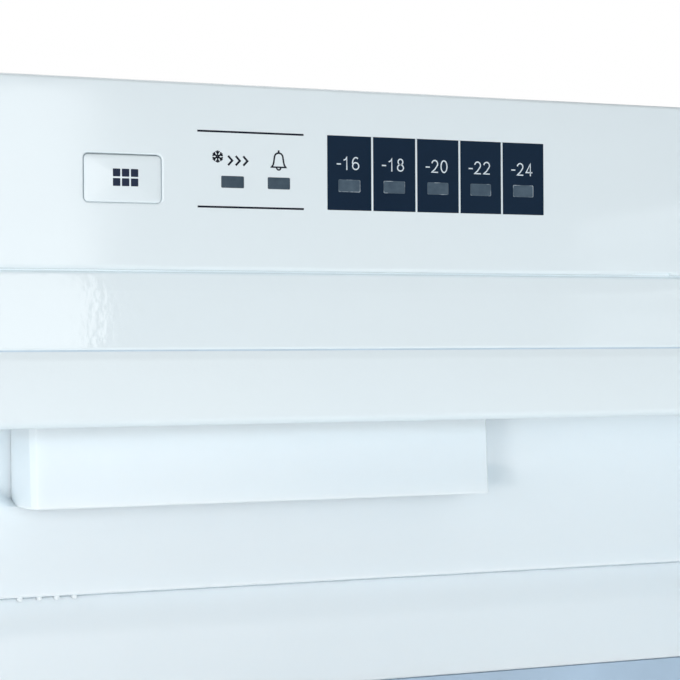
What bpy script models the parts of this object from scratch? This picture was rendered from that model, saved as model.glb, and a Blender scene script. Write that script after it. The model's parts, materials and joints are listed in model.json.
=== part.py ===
"""Built-in upright drawer freezer, modelled as an assembly of separate pieces.

Millimetres are used for every dimension below and scaled to metres when a mesh is made.
+Z is up, the front faces -Y and the origin is under the cabinet's centre, on the plane it stands on.
The door is modelled shut and then swung open about its hinge, which is the rest position.
"""
import math

import bmesh
import bpy

MM = 0.001
GAP = 0.3

# Cabinet envelope
HALF_WIDTH = 270.5
HEIGHT = 874.0
FRONT = -244.0
SHEET = 1.0
SHEET_FRONT = FRONT + 1.0
SIDE_REAR = 230.0
SIDE_FLANGE = 240.3
RAIL_HALF = SIDE_FLANGE - GAP
BASE_TOP = 21.0
REAR_RETURN = 10.0
TOP_FOLD = 14.0
RAIL_RETURN = 9.0
UPPER_RAIL_RETURN = 15.0
RUNNER_INNER = 225.0
RUNNER_OUTER = 262.0
RUNNER_FRONT = -180.0
RUNNER_REAR = 222.0
CROSS_MEMBER_HALF = 35.0

# Front bands, from the top down
FASCIA_BOTTOM = 824.5
FASCIA_DEPTH = 13.0
FASCIA_WALL = 2.5
RAIL_TOP = 823.3
RAIL_BOTTOM = 803.55
LIP_TOP = 803.25
CEILING = 783.2
LOWER_RAIL_TOP = 44.7

# Moulded liner, inside faces
LINER_WALL = 2.5
LINER_HALF = 220.5
LINER_FLOOR = 65.0
LINER_REAR = 172.0
STEP_Y = 20.0
STEP_TOP = 282.0

# Insulation and machine compartment
FOAM_FRONT = -227.7
FOAM_HALF = HALF_WIDTH - SHEET - GAP
BACK_PANEL_Y = 215.0
BAY_WALL_Y = 60.0
BAY_ROOF = 235.0
BAY_ROOF_REAR = 222.0
BASE_SHEET = 2.0
BASE_REAR = 227.0
BASE_LIP = 16.0

# Controls, measured on the fascia
BUTTON_CENTRE = (-50.1, 848.0)
BUTTON_SIZE = (21.6, 12.8)
BUTTON_TRAVEL_ROOM = 1.0
DISPLAY_CENTRE = (42.85, 851.35)
DISPLAY_SIZE = (68.2, 20.3)
DISPLAY_STEPS = 5
LAMP_Z = 847.6
LAMP_SIZE = (6.56, 3.1)
SUPER_LAMP_X = -19.2
ALARM_LAMP_X = -5.7
TAB_SLOT = (107.5, 120.4)
WINDOW_FLANGE = 1.0

# Electronics behind the fascia, as spans or planes in millimetres
CONTROL_POCKET = (-86.0, 106.0, -240.0, -219.0, 828.5, 871.5)
HOUSING = (-84.0, 104.0, -238.0, -221.0, 830.5, 869.5)
HOUSING_WALL = 1.5
BOARD_FRONT = -229.0
BOARD = (-80.0, 100.0, BOARD_FRONT, -227.4, 834.0, 866.0)
SWITCH_FACE = -234.3
SWITCH_SIZE = (6.0, 6.0)
STEM_SIZE = (4.0, 4.0)
BOARD_LAMP_SIZE = (3.0, 2.0)
GUIDE_REAR = -230.3
GUIDE_FRONT = -232.6
GUIDE_END = 4.0
PRONG_HALF = 1.6
GUIDE_HALF_HEIGHT = 1.5

# Drawers
FACE_Y = -212.0
STEP_BACK = 3.5
FRONT_REAR = -194.0
FRONT_HALF = 212.0
FRONT_WALL = 2.5
TUB_HALF = 208.0
TUB_WALL = 2.0
TUB_REAR = 162.0
SHORT_TUB_REAR = 10.0
HANDLE_HALF = 69.0
HANDLE_DROP = 21.75
HANDLE_TILT = 1.4
HANDLE_FRONT = -224.3
HANDLE_WALL = 3.0
SCOOP_HALF = 79.0
SCOOP_DROP = 20.3
SCOOP_FLOOR = -203.0
# bottom, step between upper and lower face, top of the front, top of the tub, rear of the tub
DRAWERS = (
    (706.4, 736.4, 782.7, 770.0, TUB_REAR),
    (503.5, 536.0, 689.0, 676.0, TUB_REAR),
    (297.5, 330.0, 488.5, 476.0, TUB_REAR),
    (66.5, 99.0, 282.5, 270.0, SHORT_TUB_REAR),
)

# Evaporator shelves: underside heights
SHELVES = (692.5, 492.0, 286.5)
SHELF_HALF = 219.8
SHELF_FRONT = -205.0
SHELF_REAR = 165.0
SHELF_SHEET = 2.0
SHELF_LIFT = 7.0
CHANNEL_RADIUS = 4.0
CHANNEL_PITCH = 34.0
LEDGE_REACH = 6.0
LEDGE_THICK = 5.0
LEDGE_FRONT = -200.0
LEDGE_REAR = 160.0

# Door, in its shut position, and its hinge axis
DOOR_FRONT = -298.0
DOOR_REAR = -258.3
DOOR_BOTTOM = 22.0
DOOR_TOP = 872.0
CAP_HEIGHT = 12.0
HINGE_X = 258.0
HINGE_Y = -278.0
DOOR_OPEN_DEG = 110.0
PIN_RADIUS = 4.0
BUSH_RADIUS = 5.7
DOOR_LINER_HALF = 267.0
DOOR_LINER_BACK = DOOR_REAR + 2.0
DOOR_FIELD = (-212.0, 212.0, DOOR_REAR, DOOR_REAR + 9.0, 75.0, 773.0)
GASKET_HALF = 257.0
GASKET_LOW = 26.0
GASKET_HIGH = 821.5
GASKET_SIDE_WIDTH = 13.5
GASKET_END_WIDTH = 16.0
BRACKET_SHEET = 3.0
BRACKET_NOSE = 12.0
BRACKET_SIDE_X = 228.0
BRACKET_REAR = -190.0
# underside of the plate, then the pin's lower and upper end
UPPER_BRACKET = (HEIGHT + GAP, 862.0, HEIGHT + 1.0)
LOWER_BRACKET = (16.7, 18.0, 33.0)

# Refrigerant circuit
COMPRESSOR_XY = (-60.0, 146.0)
COMPRESSOR_RADIUS = 72.0
COMPRESSOR_WALL = 3.0
FEET_HALF = (92.0, 55.0)
GROMMET_AT = (80.0, 42.0)
GROMMET_RADIUS = 10.0
MOTOR_RADIUS = 50.0
TRAY_HALF = (70.0, 64.0)
TRAY_LOW = 192.0
TRAY_HIGH = 220.0
TRAY_WALL = 2.0
DRYER_XY = (150.0, 200.0)
CONDENSER_Y = 232.0
CONDENSER_HALF = 234.0
CONDENSER_Z = (252.0, 846.0)
PIPE_RADIUS = 2.5
PIPE_Y = 229.0
RUN_HALF = 200.0
RUN_LOW = 272.0
RUN_PITCH = 60.0
RUN_COUNT = 10
LOUVRE_COLUMNS = (-150.0, -50.0, 50.0, 150.0)
LOUVRE_HALF = 38.0
LOUVRE_HALF_HEIGHT = 9.0
SUCTION_RADIUS = 2.8

LOOKS = {
    "white_plastic": ((0.83, 0.87, 0.88), 0.25, 0.0),
    "satin_plastic": ((0.82, 0.86, 0.87), 0.45, 0.0),
    "white_steel": ((0.81, 0.86, 0.87), 0.3, 0.0),
    "clear_tub": ((0.72, 0.80, 0.84), 0.2, 0.0),
    "smoked": ((0.015, 0.03, 0.05), 0.15, 0.0),
    "lamp_grey": ((0.06, 0.09, 0.11), 0.3, 0.0),
    "foam": ((0.80, 0.70, 0.42), 0.9, 0.0),
    "zinc": ((0.55, 0.56, 0.58), 0.4, 0.9),
    "aluminium": ((0.75, 0.77, 0.78), 0.4, 0.9),
    "black_steel": ((0.02, 0.02, 0.022), 0.45, 0.2),
    "black_plastic": ((0.03, 0.03, 0.03), 0.5, 0.0),
    "rubber": ((0.55, 0.57, 0.58), 0.7, 0.0),
    "copper": ((0.80, 0.42, 0.28), 0.3, 1.0),
    "board": ((0.03, 0.20, 0.09), 0.5, 0.0),
    "clear_guide": ((0.80, 0.85, 0.88), 0.1, 0.0),
}


def clear_scene():
    for old in list(bpy.data.objects):
        bpy.data.objects.remove(old, do_unlink=True)


def make_material(name, look):
    """One Principled material for one piece."""
    colour, roughness, metallic = LOOKS[look]
    material = bpy.data.materials.new(name + "_finish")
    material.use_nodes = True
    shader = material.node_tree.nodes["Principled BSDF"]
    shader.inputs["Base Color"].default_value = (*colour, 1.0)
    shader.inputs["Roughness"].default_value = roughness
    shader.inputs["Metallic"].default_value = metallic
    return material


def add_axis(name, x, y, z, turn_deg=0.0):
    """An empty on a joint's axis, which the moving pieces hang from."""
    axis = bpy.data.objects.new(name, None)
    axis.empty_display_size = 0.03
    axis.location = (x * MM, y * MM, z * MM)
    axis.rotation_euler = (0.0, 0.0, math.radians(turn_deg))
    bpy.context.scene.collection.objects.link(axis)
    return axis


def link_mesh(name, bm, axis=None, smooth_deg=None):
    """Put a bmesh in millimetres into the scene, with its origin on its axis if it has one."""
    if axis is not None:
        offset = [-value / MM for value in axis.location]
        bmesh.ops.translate(bm, vec=offset, verts=bm.verts)
    bmesh.ops.scale(bm, vec=(MM, MM, MM), verts=bm.verts)
    bmesh.ops.recalc_face_normals(bm, faces=bm.faces)
    mesh = bpy.data.meshes.new(name)
    bm.to_mesh(mesh)
    bm.free()
    if smooth_deg is not None:
        mesh.shade_smooth()
        mesh.set_sharp_from_angle(angle=math.radians(smooth_deg))
    piece = bpy.data.objects.new(name, mesh)
    piece.parent = axis
    bpy.context.scene.collection.objects.link(piece)
    return piece


def add_piece(name, bm, look, axis=None, smooth_deg=None):
    piece = link_mesh(name, bm, axis, smooth_deg)
    piece.data.materials.append(make_material(name, look))
    return piece


def combine(piece, operation, name, bm):
    """Cut or join a piece with a hidden guide shape, which shares the piece's axis."""
    guide = link_mesh(name, bm, piece.parent)
    guide.hide_render = True
    guide.display_type = "WIRE"
    modifier = piece.modifiers.new(name, "BOOLEAN")
    modifier.operation = operation
    modifier.solver = "EXACT"
    modifier.object = guide


def cut(piece, name, bm):
    combine(piece, "DIFFERENCE", name, bm)


def join(piece, name, bm):
    combine(piece, "UNION", name, bm)


def boxes(*spans):
    """Separate boxes in one bmesh, each given as (x0, x1, y0, y1, z0, z1)."""
    bm = bmesh.new()
    for x0, x1, y0, y1, z0, z1 in spans:
        made = bmesh.ops.create_cube(bm, size=1.0)["verts"]
        bmesh.ops.scale(bm, vec=(x1 - x0, y1 - y0, z1 - z0), verts=made)
        centre = ((x0 + x1) / 2, (y0 + y1) / 2, (z0 + z1) / 2)
        bmesh.ops.translate(bm, vec=centre, verts=made)
    return bm


def extruded(outline, low, high, direction):
    """A prism: the outline lies across X, Y or Z and runs from low to high along it."""
    place = {
        "X": lambda u, v, w: (w, u, v),
        "Y": lambda u, v, w: (u, w, v),
        "Z": lambda u, v, w: (u, v, w),
    }[direction]
    bm = bmesh.new()
    near = [bm.verts.new(place(u, v, low)) for u, v in outline]
    far = [bm.verts.new(place(u, v, high)) for u, v in outline]
    bm.faces.new(near)
    bm.faces.new(reversed(far))
    for i in range(len(outline)):
        k = (i + 1) % len(outline)
        bm.faces.new((near[k], near[i], far[i], far[k]))
    return bm


def turned(profile, x, y, segments=24):
    """A closed (radius, z) profile turned about a vertical axis at x, y."""
    bm = bmesh.new()
    rings = []
    for radius, z in profile:
        if radius == 0.0:
            rings.append([bm.verts.new((x, y, z))])
            continue
        ring = []
        for k in range(segments):
            angle = 2 * math.pi * k / segments
            ring.append(bm.verts.new((x + radius * math.cos(angle), y + radius * math.sin(angle), z)))
        rings.append(ring)
    for i, ring in enumerate(rings):
        after = rings[(i + 1) % len(rings)]
        if len(ring) == 1 and len(after) == 1:
            continue
        for k in range(segments):
            n = (k + 1) % segments
            corners = [ring[k % len(ring)], ring[n % len(ring)]]
            corners += [after[n % len(after)], after[k % len(after)]]
            bm.faces.new(list(dict.fromkeys(corners)))
    return bm


def cylinder(radius, z0, z1, x, y, segments=24):
    return turned(((0.0, z0), (radius, z0), (radius, z1), (0.0, z1)), x, y, segments)


def tray(outer, inner, toward):
    """A box shell that is open on one side: outer and inner are spans, toward is the open side."""
    axis = "XYZ".index(toward[1])
    end = 2 * axis + (1 if toward[0] == "+" else 0)
    hollow = list(inner)
    hollow[end] = outer[end]
    bm = boxes(outer, hollow)
    bm.faces.ensure_lookup_table()
    mouth = []
    for face in bm.faces:
        flat = all(abs(v.co[axis] - outer[end]) < 1e-6 for v in face.verts)
        if flat:
            mouth.append(face)
    inside = [f for f in bm.faces if f.index >= 6 and f not in mouth]
    bmesh.ops.reverse_faces(bm, faces=inside)
    edges = [edge for face in mouth for edge in face.edges]
    bmesh.ops.delete(bm, geom=mouth, context="FACES_ONLY")
    bmesh.ops.bridge_loops(bm, edges=edges)
    return bm


def pipe(name, points, radius, look, smooth=True):
    """A round pipe along points in millimetres, through smooth bends."""
    curve = bpy.data.curves.new(name, "CURVE")
    curve.dimensions = "3D"
    curve.bevel_depth = radius * MM
    curve.bevel_resolution = 2
    curve.use_fill_caps = True
    curve.resolution_u = 5 if smooth else 1
    spline = curve.splines.new("BEZIER" if smooth else "POLY")
    if smooth:
        spline.bezier_points.add(len(points) - 1)
        for knot, point in zip(spline.bezier_points, points):
            knot.co = [value * MM for value in point]
            knot.handle_left_type = "AUTO"
            knot.handle_right_type = "AUTO"
    else:
        spline.points.add(len(points) - 1)
        for knot, point in zip(spline.points, points):
            knot.co = [*(value * MM for value in point), 1.0]
    piece = bpy.data.objects.new(name, curve)
    curve.materials.append(make_material(name, look))
    bpy.context.scene.collection.objects.link(piece)
    return piece


# ---------------------------------------------------------------- outer case


def side_panel(name, side):
    """Painted sheet, folded round the front and the rear."""
    inside = HALF_WIDTH - SHEET
    rear = SIDE_REAR
    profile = [
        (HALF_WIDTH, SHEET_FRONT),
        (SIDE_FLANGE, SHEET_FRONT),
        (SIDE_FLANGE, SHEET_FRONT + SHEET),
        (inside, SHEET_FRONT + SHEET),
        (inside, rear - SHEET),
        (SIDE_FLANGE + REAR_RETURN, rear - SHEET),
        (SIDE_FLANGE + REAR_RETURN, rear),
        (HALF_WIDTH, rear),
    ]
    outline = [(side * x, y) for x, y in profile]
    low = BASE_TOP - SHEET
    piece = add_piece(name, extruded(outline, low, HEIGHT - SHEET - GAP, "Z"), "white_steel")
    edge = FRONT + FASCIA_DEPTH + GAP
    notch = boxes((-300.0, 300.0, -260.0, edge, FASCIA_BOTTOM - GAP, 900.0))
    cut(piece, name + "_fascia_notch", notch)


def top_panel():
    """Flat sheet with its rear edge folded down."""
    front = FRONT + FASCIA_DEPTH + GAP
    under = HEIGHT - SHEET
    outline = [
        (front, under),
        (SIDE_REAR + GAP, under),
        (SIDE_REAR + GAP, under - TOP_FOLD),
        (SIDE_REAR + GAP + SHEET, under - TOP_FOLD),
        (SIDE_REAR + GAP + SHEET, HEIGHT),
        (front, HEIGHT),
    ]
    add_piece("top_panel", extruded(outline, -HALF_WIDTH, HALF_WIDTH, "X"), "white_steel")


def back_panel():
    low = BAY_ROOF + SHEET + GAP
    high = HEIGHT - SHEET - GAP
    span = (-FOAM_HALF, FOAM_HALF, BACK_PANEL_Y, BACK_PANEL_Y + SHEET, low, high)
    add_piece("back_panel", boxes(span), "zinc")


def base_panel():
    span = (-FOAM_HALF, FOAM_HALF, SHEET_FRONT + SHEET + GAP, BAY_WALL_Y - GAP, BASE_TOP - SHEET, BASE_TOP)
    add_piece("base_panel", boxes(span), "zinc")


def front_rail(name, low, high, top_return):
    """Folded sheet channel across the front of the cabinet."""
    back = SHEET_FRONT + SHEET
    outline = [
        (SHEET_FRONT, low),
        (SHEET_FRONT + RAIL_RETURN, low),
        (SHEET_FRONT + RAIL_RETURN, low + SHEET),
        (back, low + SHEET),
        (back, high - SHEET),
        (SHEET_FRONT + top_return, high - SHEET),
        (SHEET_FRONT + top_return, high),
        (SHEET_FRONT, high),
    ]
    add_piece(name, extruded(outline, -RAIL_HALF, RAIL_HALF, "X"), "white_steel")


def base_supports():
    """Two runners and a cross member that the cabinet slides in and stands on."""
    high = BASE_TOP - SHEET - GAP
    left = (-RUNNER_OUTER, -RUNNER_INNER, RUNNER_FRONT, RUNNER_REAR, 0.0, high)
    right = (RUNNER_INNER, RUNNER_OUTER, RUNNER_FRONT, RUNNER_REAR, 0.0, high)
    reach = RUNNER_INNER - GAP
    across = (-reach, reach, -CROSS_MEMBER_HALF, CROSS_MEMBER_HALF, 0.0, high)
    add_piece("base_runner_left", boxes(left), "black_plastic")
    add_piece("base_runner_right", boxes(right), "black_plastic")
    add_piece("base_cross_member", boxes(across), "black_plastic")


# ---------------------------------------------------------------- liner and insulation


def liner_outline(extra, front):
    """Side view of the liner's hollow, grown outwards by extra."""
    return [
        (front, LINER_FLOOR - extra),
        (STEP_Y + extra, LINER_FLOOR - extra),
        (STEP_Y + extra, STEP_TOP - extra),
        (LINER_REAR + extra, STEP_TOP - extra),
        (LINER_REAR + extra, CEILING + extra),
        (front, CEILING + extra),
    ]


def cabinet_liner():
    """Vacuum-formed liner with a flat front flange and ledges for the shelves."""
    half = LINER_HALF + LINER_WALL
    outline = liner_outline(LINER_WALL, SHEET_FRONT + 1.0)
    piece = add_piece("cabinet_liner", extruded(outline, -half, half, "X"), "satin_plastic")
    flange_low = LOWER_RAIL_TOP + GAP
    flange = boxes((-RAIL_HALF, RAIL_HALF, SHEET_FRONT, SHEET_FRONT + LINER_WALL, flange_low, LIP_TOP))
    join(piece, "liner_flange", flange)
    hollow = extruded(liner_outline(0.0, -260.0), -LINER_HALF, LINER_HALF, "X")
    cut(piece, "liner_hollow", hollow)
    spans = []
    for low in SHELVES:
        for side in (-1, 1):
            ends = sorted((side * (LINER_HALF - LEDGE_REACH), side * (LINER_HALF + 1.0)))
            spans.append((*ends, LEDGE_FRONT, LEDGE_REAR, low - GAP - LEDGE_THICK, low - GAP))
    join(piece, "liner_ledges", boxes(*spans))


def cabinet_foam():
    """Rigid foam between the case and the liner, stepped over the machine compartment."""
    outline = [
        (FOAM_FRONT, BASE_TOP + GAP),
        (BAY_WALL_Y - GAP, BASE_TOP + GAP),
        (BAY_WALL_Y - GAP, BAY_ROOF + SHEET + GAP),
        (BACK_PANEL_Y - GAP, BAY_ROOF + SHEET + GAP),
        (BACK_PANEL_Y - GAP, HEIGHT - SHEET - GAP),
        (FOAM_FRONT, HEIGHT - SHEET - GAP),
    ]
    piece = add_piece("cabinet_foam", extruded(outline, -FOAM_HALF, FOAM_HALF, "X"), "foam")
    extra = LINER_WALL + GAP
    half = LINER_HALF + extra
    cut(piece, "foam_liner_space", extruded(liner_outline(extra, -260.0), -half, half, "X"))
    cut(piece, "foam_control_pocket", boxes(CONTROL_POCKET))


def compressor_bay():
    """Sheets that close the foam towards the machine compartment, and the compressor's base."""
    wall = (-FOAM_HALF, FOAM_HALF, BAY_WALL_Y, BAY_WALL_Y + SHEET, BASE_TOP + BASE_SHEET, BAY_ROOF - GAP)
    add_piece("compressor_bay_wall", boxes(wall), "zinc")
    roof = (-FOAM_HALF, FOAM_HALF, BAY_WALL_Y, BAY_ROOF_REAR, BAY_ROOF, BAY_ROOF + SHEET)
    add_piece("compressor_bay_roof", boxes(roof), "zinc")
    low = BASE_TOP - SHEET
    outline = [
        (BAY_WALL_Y + GAP, low),
        (BASE_REAR, low),
        (BASE_REAR, low + BASE_LIP),
        (BASE_REAR - BASE_SHEET, low + BASE_LIP),
        (BASE_REAR - BASE_SHEET, low + BASE_SHEET),
        (BAY_WALL_Y + GAP, low + BASE_SHEET),
    ]
    add_piece("compressor_base", extruded(outline, -FOAM_HALF, FOAM_HALF, "X"), "zinc")


# ---------------------------------------------------------------- controls


def centred(centre, size, y0, y1, grow=0.0):
    """A box span about a centre on the fascia, from y0 back to y1."""
    x, z = centre
    half_x = size[0] / 2 + grow
    half_z = size[1] / 2 + grow
    return (x - half_x, x + half_x, y0, y1, z - half_z, z + half_z)


def lamp_centres():
    return [(SUPER_LAMP_X, LAMP_Z), (ALARM_LAMP_X, LAMP_Z)]


def step_centres():
    """Middle of each temperature step along the display."""
    pitch = DISPLAY_SIZE[0] / DISPLAY_STEPS
    left = DISPLAY_CENTRE[0] - DISPLAY_SIZE[0] / 2
    return [(left + (k + 0.5) * pitch, LAMP_Z) for k in range(DISPLAY_STEPS)]


def control_fascia():
    """Glossy strip across the top of the front, a tray that is open to the back."""
    rear = FRONT + FASCIA_DEPTH
    outer = (-HALF_WIDTH, HALF_WIDTH, FRONT, rear, FASCIA_BOTTOM, HEIGHT)
    inner = (
        -HALF_WIDTH + FASCIA_WALL,
        HALF_WIDTH - FASCIA_WALL,
        FRONT + FASCIA_WALL,
        rear,
        FASCIA_BOTTOM + FASCIA_WALL,
        HEIGHT - FASCIA_WALL,
    )
    piece = add_piece("control_fascia", tray(outer, inner, "+Y"), "white_plastic")
    y0 = FRONT - 2.0
    y1 = FRONT + FASCIA_WALL + 1.0
    holes = [centred(BUTTON_CENTRE, BUTTON_SIZE, y0, y1, GAP)]
    holes.append(centred(DISPLAY_CENTRE, DISPLAY_SIZE, y0, y1, GAP / 2))
    for centre in lamp_centres():
        holes.append(centred(centre, LAMP_SIZE, y0, y1, GAP / 2))
    holes.append((*TAB_SLOT, y0, FRONT + 1.2, FASCIA_BOTTOM - 1.0, FASCIA_BOTTOM + 0.9))
    cut(piece, "fascia_holes", boxes(*holes))


def stepped_window(name, centre, size, look):
    """A window that fills its hole, with a wider flange behind the fascia."""
    back = FRONT + FASCIA_WALL + GAP
    piece = add_piece(name, boxes(centred(centre, size, FRONT + 0.05, back + 0.5)), look)
    join(piece, name + "_flange", boxes(centred(centre, size, back, back + WINDOW_FLANGE, 1.5)))


def push_button():
    """Cap, retaining flange and a stem that reaches towards the switch."""
    back = FRONT + FASCIA_WALL + GAP
    x, z = BUTTON_CENTRE
    axis = add_axis("push_button_axis", x, FRONT, z)
    cap = boxes(centred(BUTTON_CENTRE, BUTTON_SIZE, FRONT - 0.6, back + 0.5))
    piece = add_piece("push_button", cap, "white_plastic", axis)
    join(piece, "button_flange", boxes(centred(BUTTON_CENTRE, BUTTON_SIZE, back, back + 1.4, 2.0)))
    join(piece, "button_stem", boxes(centred(BUTTON_CENTRE, STEM_SIZE, back + 1.0, SWITCH_FACE - GAP)))


def button_switch():
    span = centred(BUTTON_CENTRE, SWITCH_SIZE, SWITCH_FACE + BUTTON_TRAVEL_ROOM, BOARD_FRONT - GAP)
    add_piece("button_switch", boxes(span), "black_plastic")


def control_board():
    piece = add_piece("control_board", boxes(BOARD), "board")
    lamps = []
    for centre in lamp_centres() + step_centres():
        lamps.append(centred(centre, BOARD_LAMP_SIZE, BOARD_FRONT - 1.0, BOARD_FRONT + GAP))
    join(piece, "board_lamps", boxes(*lamps))


def light_guide():
    """Clear comb with one prong behind each window."""
    tip = FRONT + FASCIA_WALL + GAP + WINDOW_FLANGE + GAP
    centres = sorted(x for x, _ in lamp_centres() + step_centres())
    left = centres[0] - GUIDE_END
    right = centres[-1] + GUIDE_END
    outline = [(left, GUIDE_REAR), (left, GUIDE_FRONT)]
    for x in centres:
        outline += [(x - PRONG_HALF, GUIDE_FRONT), (x - PRONG_HALF, tip)]
        outline += [(x + PRONG_HALF, tip), (x + PRONG_HALF, GUIDE_FRONT)]
    outline += [(right, GUIDE_FRONT), (right, GUIDE_REAR)]
    bm = extruded(outline, LAMP_Z - GUIDE_HALF_HEIGHT, LAMP_Z + GUIDE_HALF_HEIGHT, "Z")
    add_piece("light_guide", bm, "clear_guide")


def control_housing():
    x0, x1, y0, y1, z0, z1 = HOUSING
    wall = HOUSING_WALL
    inner = (x0 + wall, x1 - wall, y0, y1 - wall, z0 + wall, z1 - wall)
    add_piece("control_housing", tray(HOUSING, inner, "-Y"), "satin_plastic")


# ---------------------------------------------------------------- drawers and shelves


def drawer_front(number, axis, bottom, step, top):
    """Hollow moulded front: two-level face, finger scoop and a handle that bridges it."""
    name = f"drawer_{number}_front"
    wall = FRONT_WALL
    outer = [
        (FACE_Y, top),
        (FACE_Y, step),
        (FACE_Y + STEP_BACK, step),
        (FACE_Y + STEP_BACK, bottom),
        (FRONT_REAR, bottom),
        (FRONT_REAR, top),
    ]
    piece = add_piece(name, extruded(outer, -FRONT_HALF, FRONT_HALF, "X"), "satin_plastic", axis)
    inner = [
        (FACE_Y + wall, top - wall),
        (FACE_Y + wall, step + wall),
        (FACE_Y + STEP_BACK + wall, step + wall),
        (FACE_Y + STEP_BACK + wall, bottom + wall),
        (FRONT_REAR + 5.0, bottom + wall),
        (FRONT_REAR + 5.0, top - wall),
    ]
    half = FRONT_HALF - wall
    cut(piece, name + "_hollow", extruded(inner, -half, half, "X"))
    scoop_low = top - SCOOP_DROP
    reach = SCOOP_HALF + 2.0
    block = (-reach, reach, FACE_Y + 1.0, SCOOP_FLOOR + 2.0, scoop_low - 2.0, top - 1.0)
    join(piece, name + "_scoop_wall", boxes(block))
    space = (-SCOOP_HALF, SCOOP_HALF, FACE_Y - 5.0, SCOOP_FLOOR, scoop_low, top - wall)
    cut(piece, name + "_scoop", boxes(space))
    join(piece, name + "_handle", handle_shape(top))


def handle_shape(top):
    """Tilted grip plate with a roof and two side walls that run back to the scoop's floor."""
    roof = top - GAP
    low = top - HANDLE_DROP
    root = SCOOP_FLOOR + 1.0
    front_low = HANDLE_FRONT - HANDLE_TILT
    outer = [(HANDLE_FRONT, roof), (front_low, low), (root, low), (root, roof)]
    bm = extruded(outer, -HANDLE_HALF, HANDLE_HALF, "X")
    hollow_roof = roof - 2.5
    hollow = [
        (HANDLE_FRONT + HANDLE_WALL, hollow_roof),
        (front_low + HANDLE_WALL, low - 1.0),
        (root + 1.0, low - 1.0),
        (root + 1.0, hollow_roof),
    ]
    inner_half = HANDLE_HALF - HANDLE_WALL
    return subtract(bm, extruded(hollow, -inner_half, inner_half, "X"))


def subtract(bm, cutter):
    """Cut one closed bmesh with another, through a short-lived pair of objects."""
    first = link_mesh("blank", bm)
    second = link_mesh("cutter", cutter)
    modifier = first.modifiers.new("cut", "BOOLEAN")
    modifier.operation = "DIFFERENCE"
    modifier.solver = "EXACT"
    modifier.object = second
    graph = bpy.context.evaluated_depsgraph_get()
    result = bmesh.new()
    result.from_mesh(first.evaluated_get(graph).to_mesh())
    bmesh.ops.scale(result, vec=(1 / MM, 1 / MM, 1 / MM), verts=result.verts)
    bpy.data.objects.remove(first, do_unlink=True)
    bpy.data.objects.remove(second, do_unlink=True)
    return result


def drawer_tub(number, axis, bottom, top, rear):
    outer = (-TUB_HALF, TUB_HALF, FRONT_REAR + GAP, rear, bottom, top)
    inner = (
        -TUB_HALF + TUB_WALL,
        TUB_HALF - TUB_WALL,
        FRONT_REAR + GAP + TUB_WALL,
        rear - TUB_WALL,
        bottom + TUB_WALL,
        top,
    )
    add_piece(f"drawer_{number}_tub", tray(outer, inner, "+Z"), "clear_tub", axis)


def drawers():
    for number, (bottom, step, top, tub_top, rear) in enumerate(DRAWERS, start=1):
        axis = add_axis(f"drawer_{number}_axis", 0.0, FACE_Y, (bottom + top) / 2)
        drawer_front(number, axis, bottom, step, top)
        drawer_tub(number, axis, bottom, tub_top, rear)


def evaporator_shelf(number, low):
    """Roll-bond plate: a sheet with refrigerant channels along its underside."""
    top = low + SHELF_LIFT + SHELF_SHEET
    under = low + SHELF_LIFT
    lip = under - CHANNEL_RADIUS
    outline = [(SHELF_FRONT, lip), (SHELF_FRONT, top), (SHELF_REAR, top), (SHELF_REAR, under)]
    count = int((SHELF_REAR - SHELF_FRONT - 30.0) // CHANNEL_PITCH)
    for k in range(count):
        middle = SHELF_REAR - 20.0 - k * CHANNEL_PITCH
        for turn in range(7):
            angle = math.pi * turn / 6
            y = middle + CHANNEL_RADIUS * math.cos(angle)
            outline.append((y, under - CHANNEL_RADIUS * math.sin(angle)))
    outline += [(SHELF_FRONT + 2.0, under), (SHELF_FRONT + 2.0, lip)]
    bm = extruded(outline, -SHELF_HALF, SHELF_HALF, "X")
    add_piece(f"evaporator_shelf_{number}", bm, "aluminium", smooth_deg=40.0)


# ---------------------------------------------------------------- door


def door():
    axis = add_axis("door_axis", HINGE_X, HINGE_Y, 0.0)
    low = DOOR_BOTTOM + CAP_HEIGHT + GAP
    high = DOOR_TOP - CAP_HEIGHT - GAP
    door_outer_panel(axis, low, high)
    foam = (-FOAM_HALF, FOAM_HALF, DOOR_FRONT + SHEET + GAP, DOOR_REAR - 0.8, low, high)
    add_piece("door_foam", boxes(foam), "foam", axis)
    door_liner(axis, low, high)
    door_gasket(axis)
    door_cap("door_top_cap", axis, DOOR_TOP - CAP_HEIGHT)
    door_cap("door_bottom_cap", axis, DOOR_BOTTOM)
    hinge_bush("upper_hinge_bush", axis, DOOR_TOP - CAP_HEIGHT + 0.5)
    hinge_bush("lower_hinge_bush", axis, DOOR_BOTTOM + 0.5)
    axis.rotation_euler[2] = math.radians(DOOR_OPEN_DEG)


def door_outer_panel(axis, low, high):
    """Painted sheet folded back along both long edges."""
    inside = HALF_WIDTH - SHEET
    outline = [
        (-HALF_WIDTH, DOOR_FRONT),
        (HALF_WIDTH, DOOR_FRONT),
        (HALF_WIDTH, DOOR_REAR),
        (inside, DOOR_REAR),
        (inside, DOOR_FRONT + SHEET),
        (-inside, DOOR_FRONT + SHEET),
        (-inside, DOOR_REAR),
        (-HALF_WIDTH, DOOR_REAR),
    ]
    add_piece("door_outer_panel", extruded(outline, low, high, "Z"), "white_steel", axis)


def door_liner(axis, low, high):
    """Inner sheet of the door with a raised field that reaches into the cabinet's mouth."""
    plate = (-DOOR_LINER_HALF, DOOR_LINER_HALF, DOOR_REAR - 0.5, DOOR_LINER_BACK, low, high)
    piece = add_piece("door_liner", boxes(plate), "satin_plastic", axis)
    join(piece, "door_liner_field", boxes(DOOR_FIELD))


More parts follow.
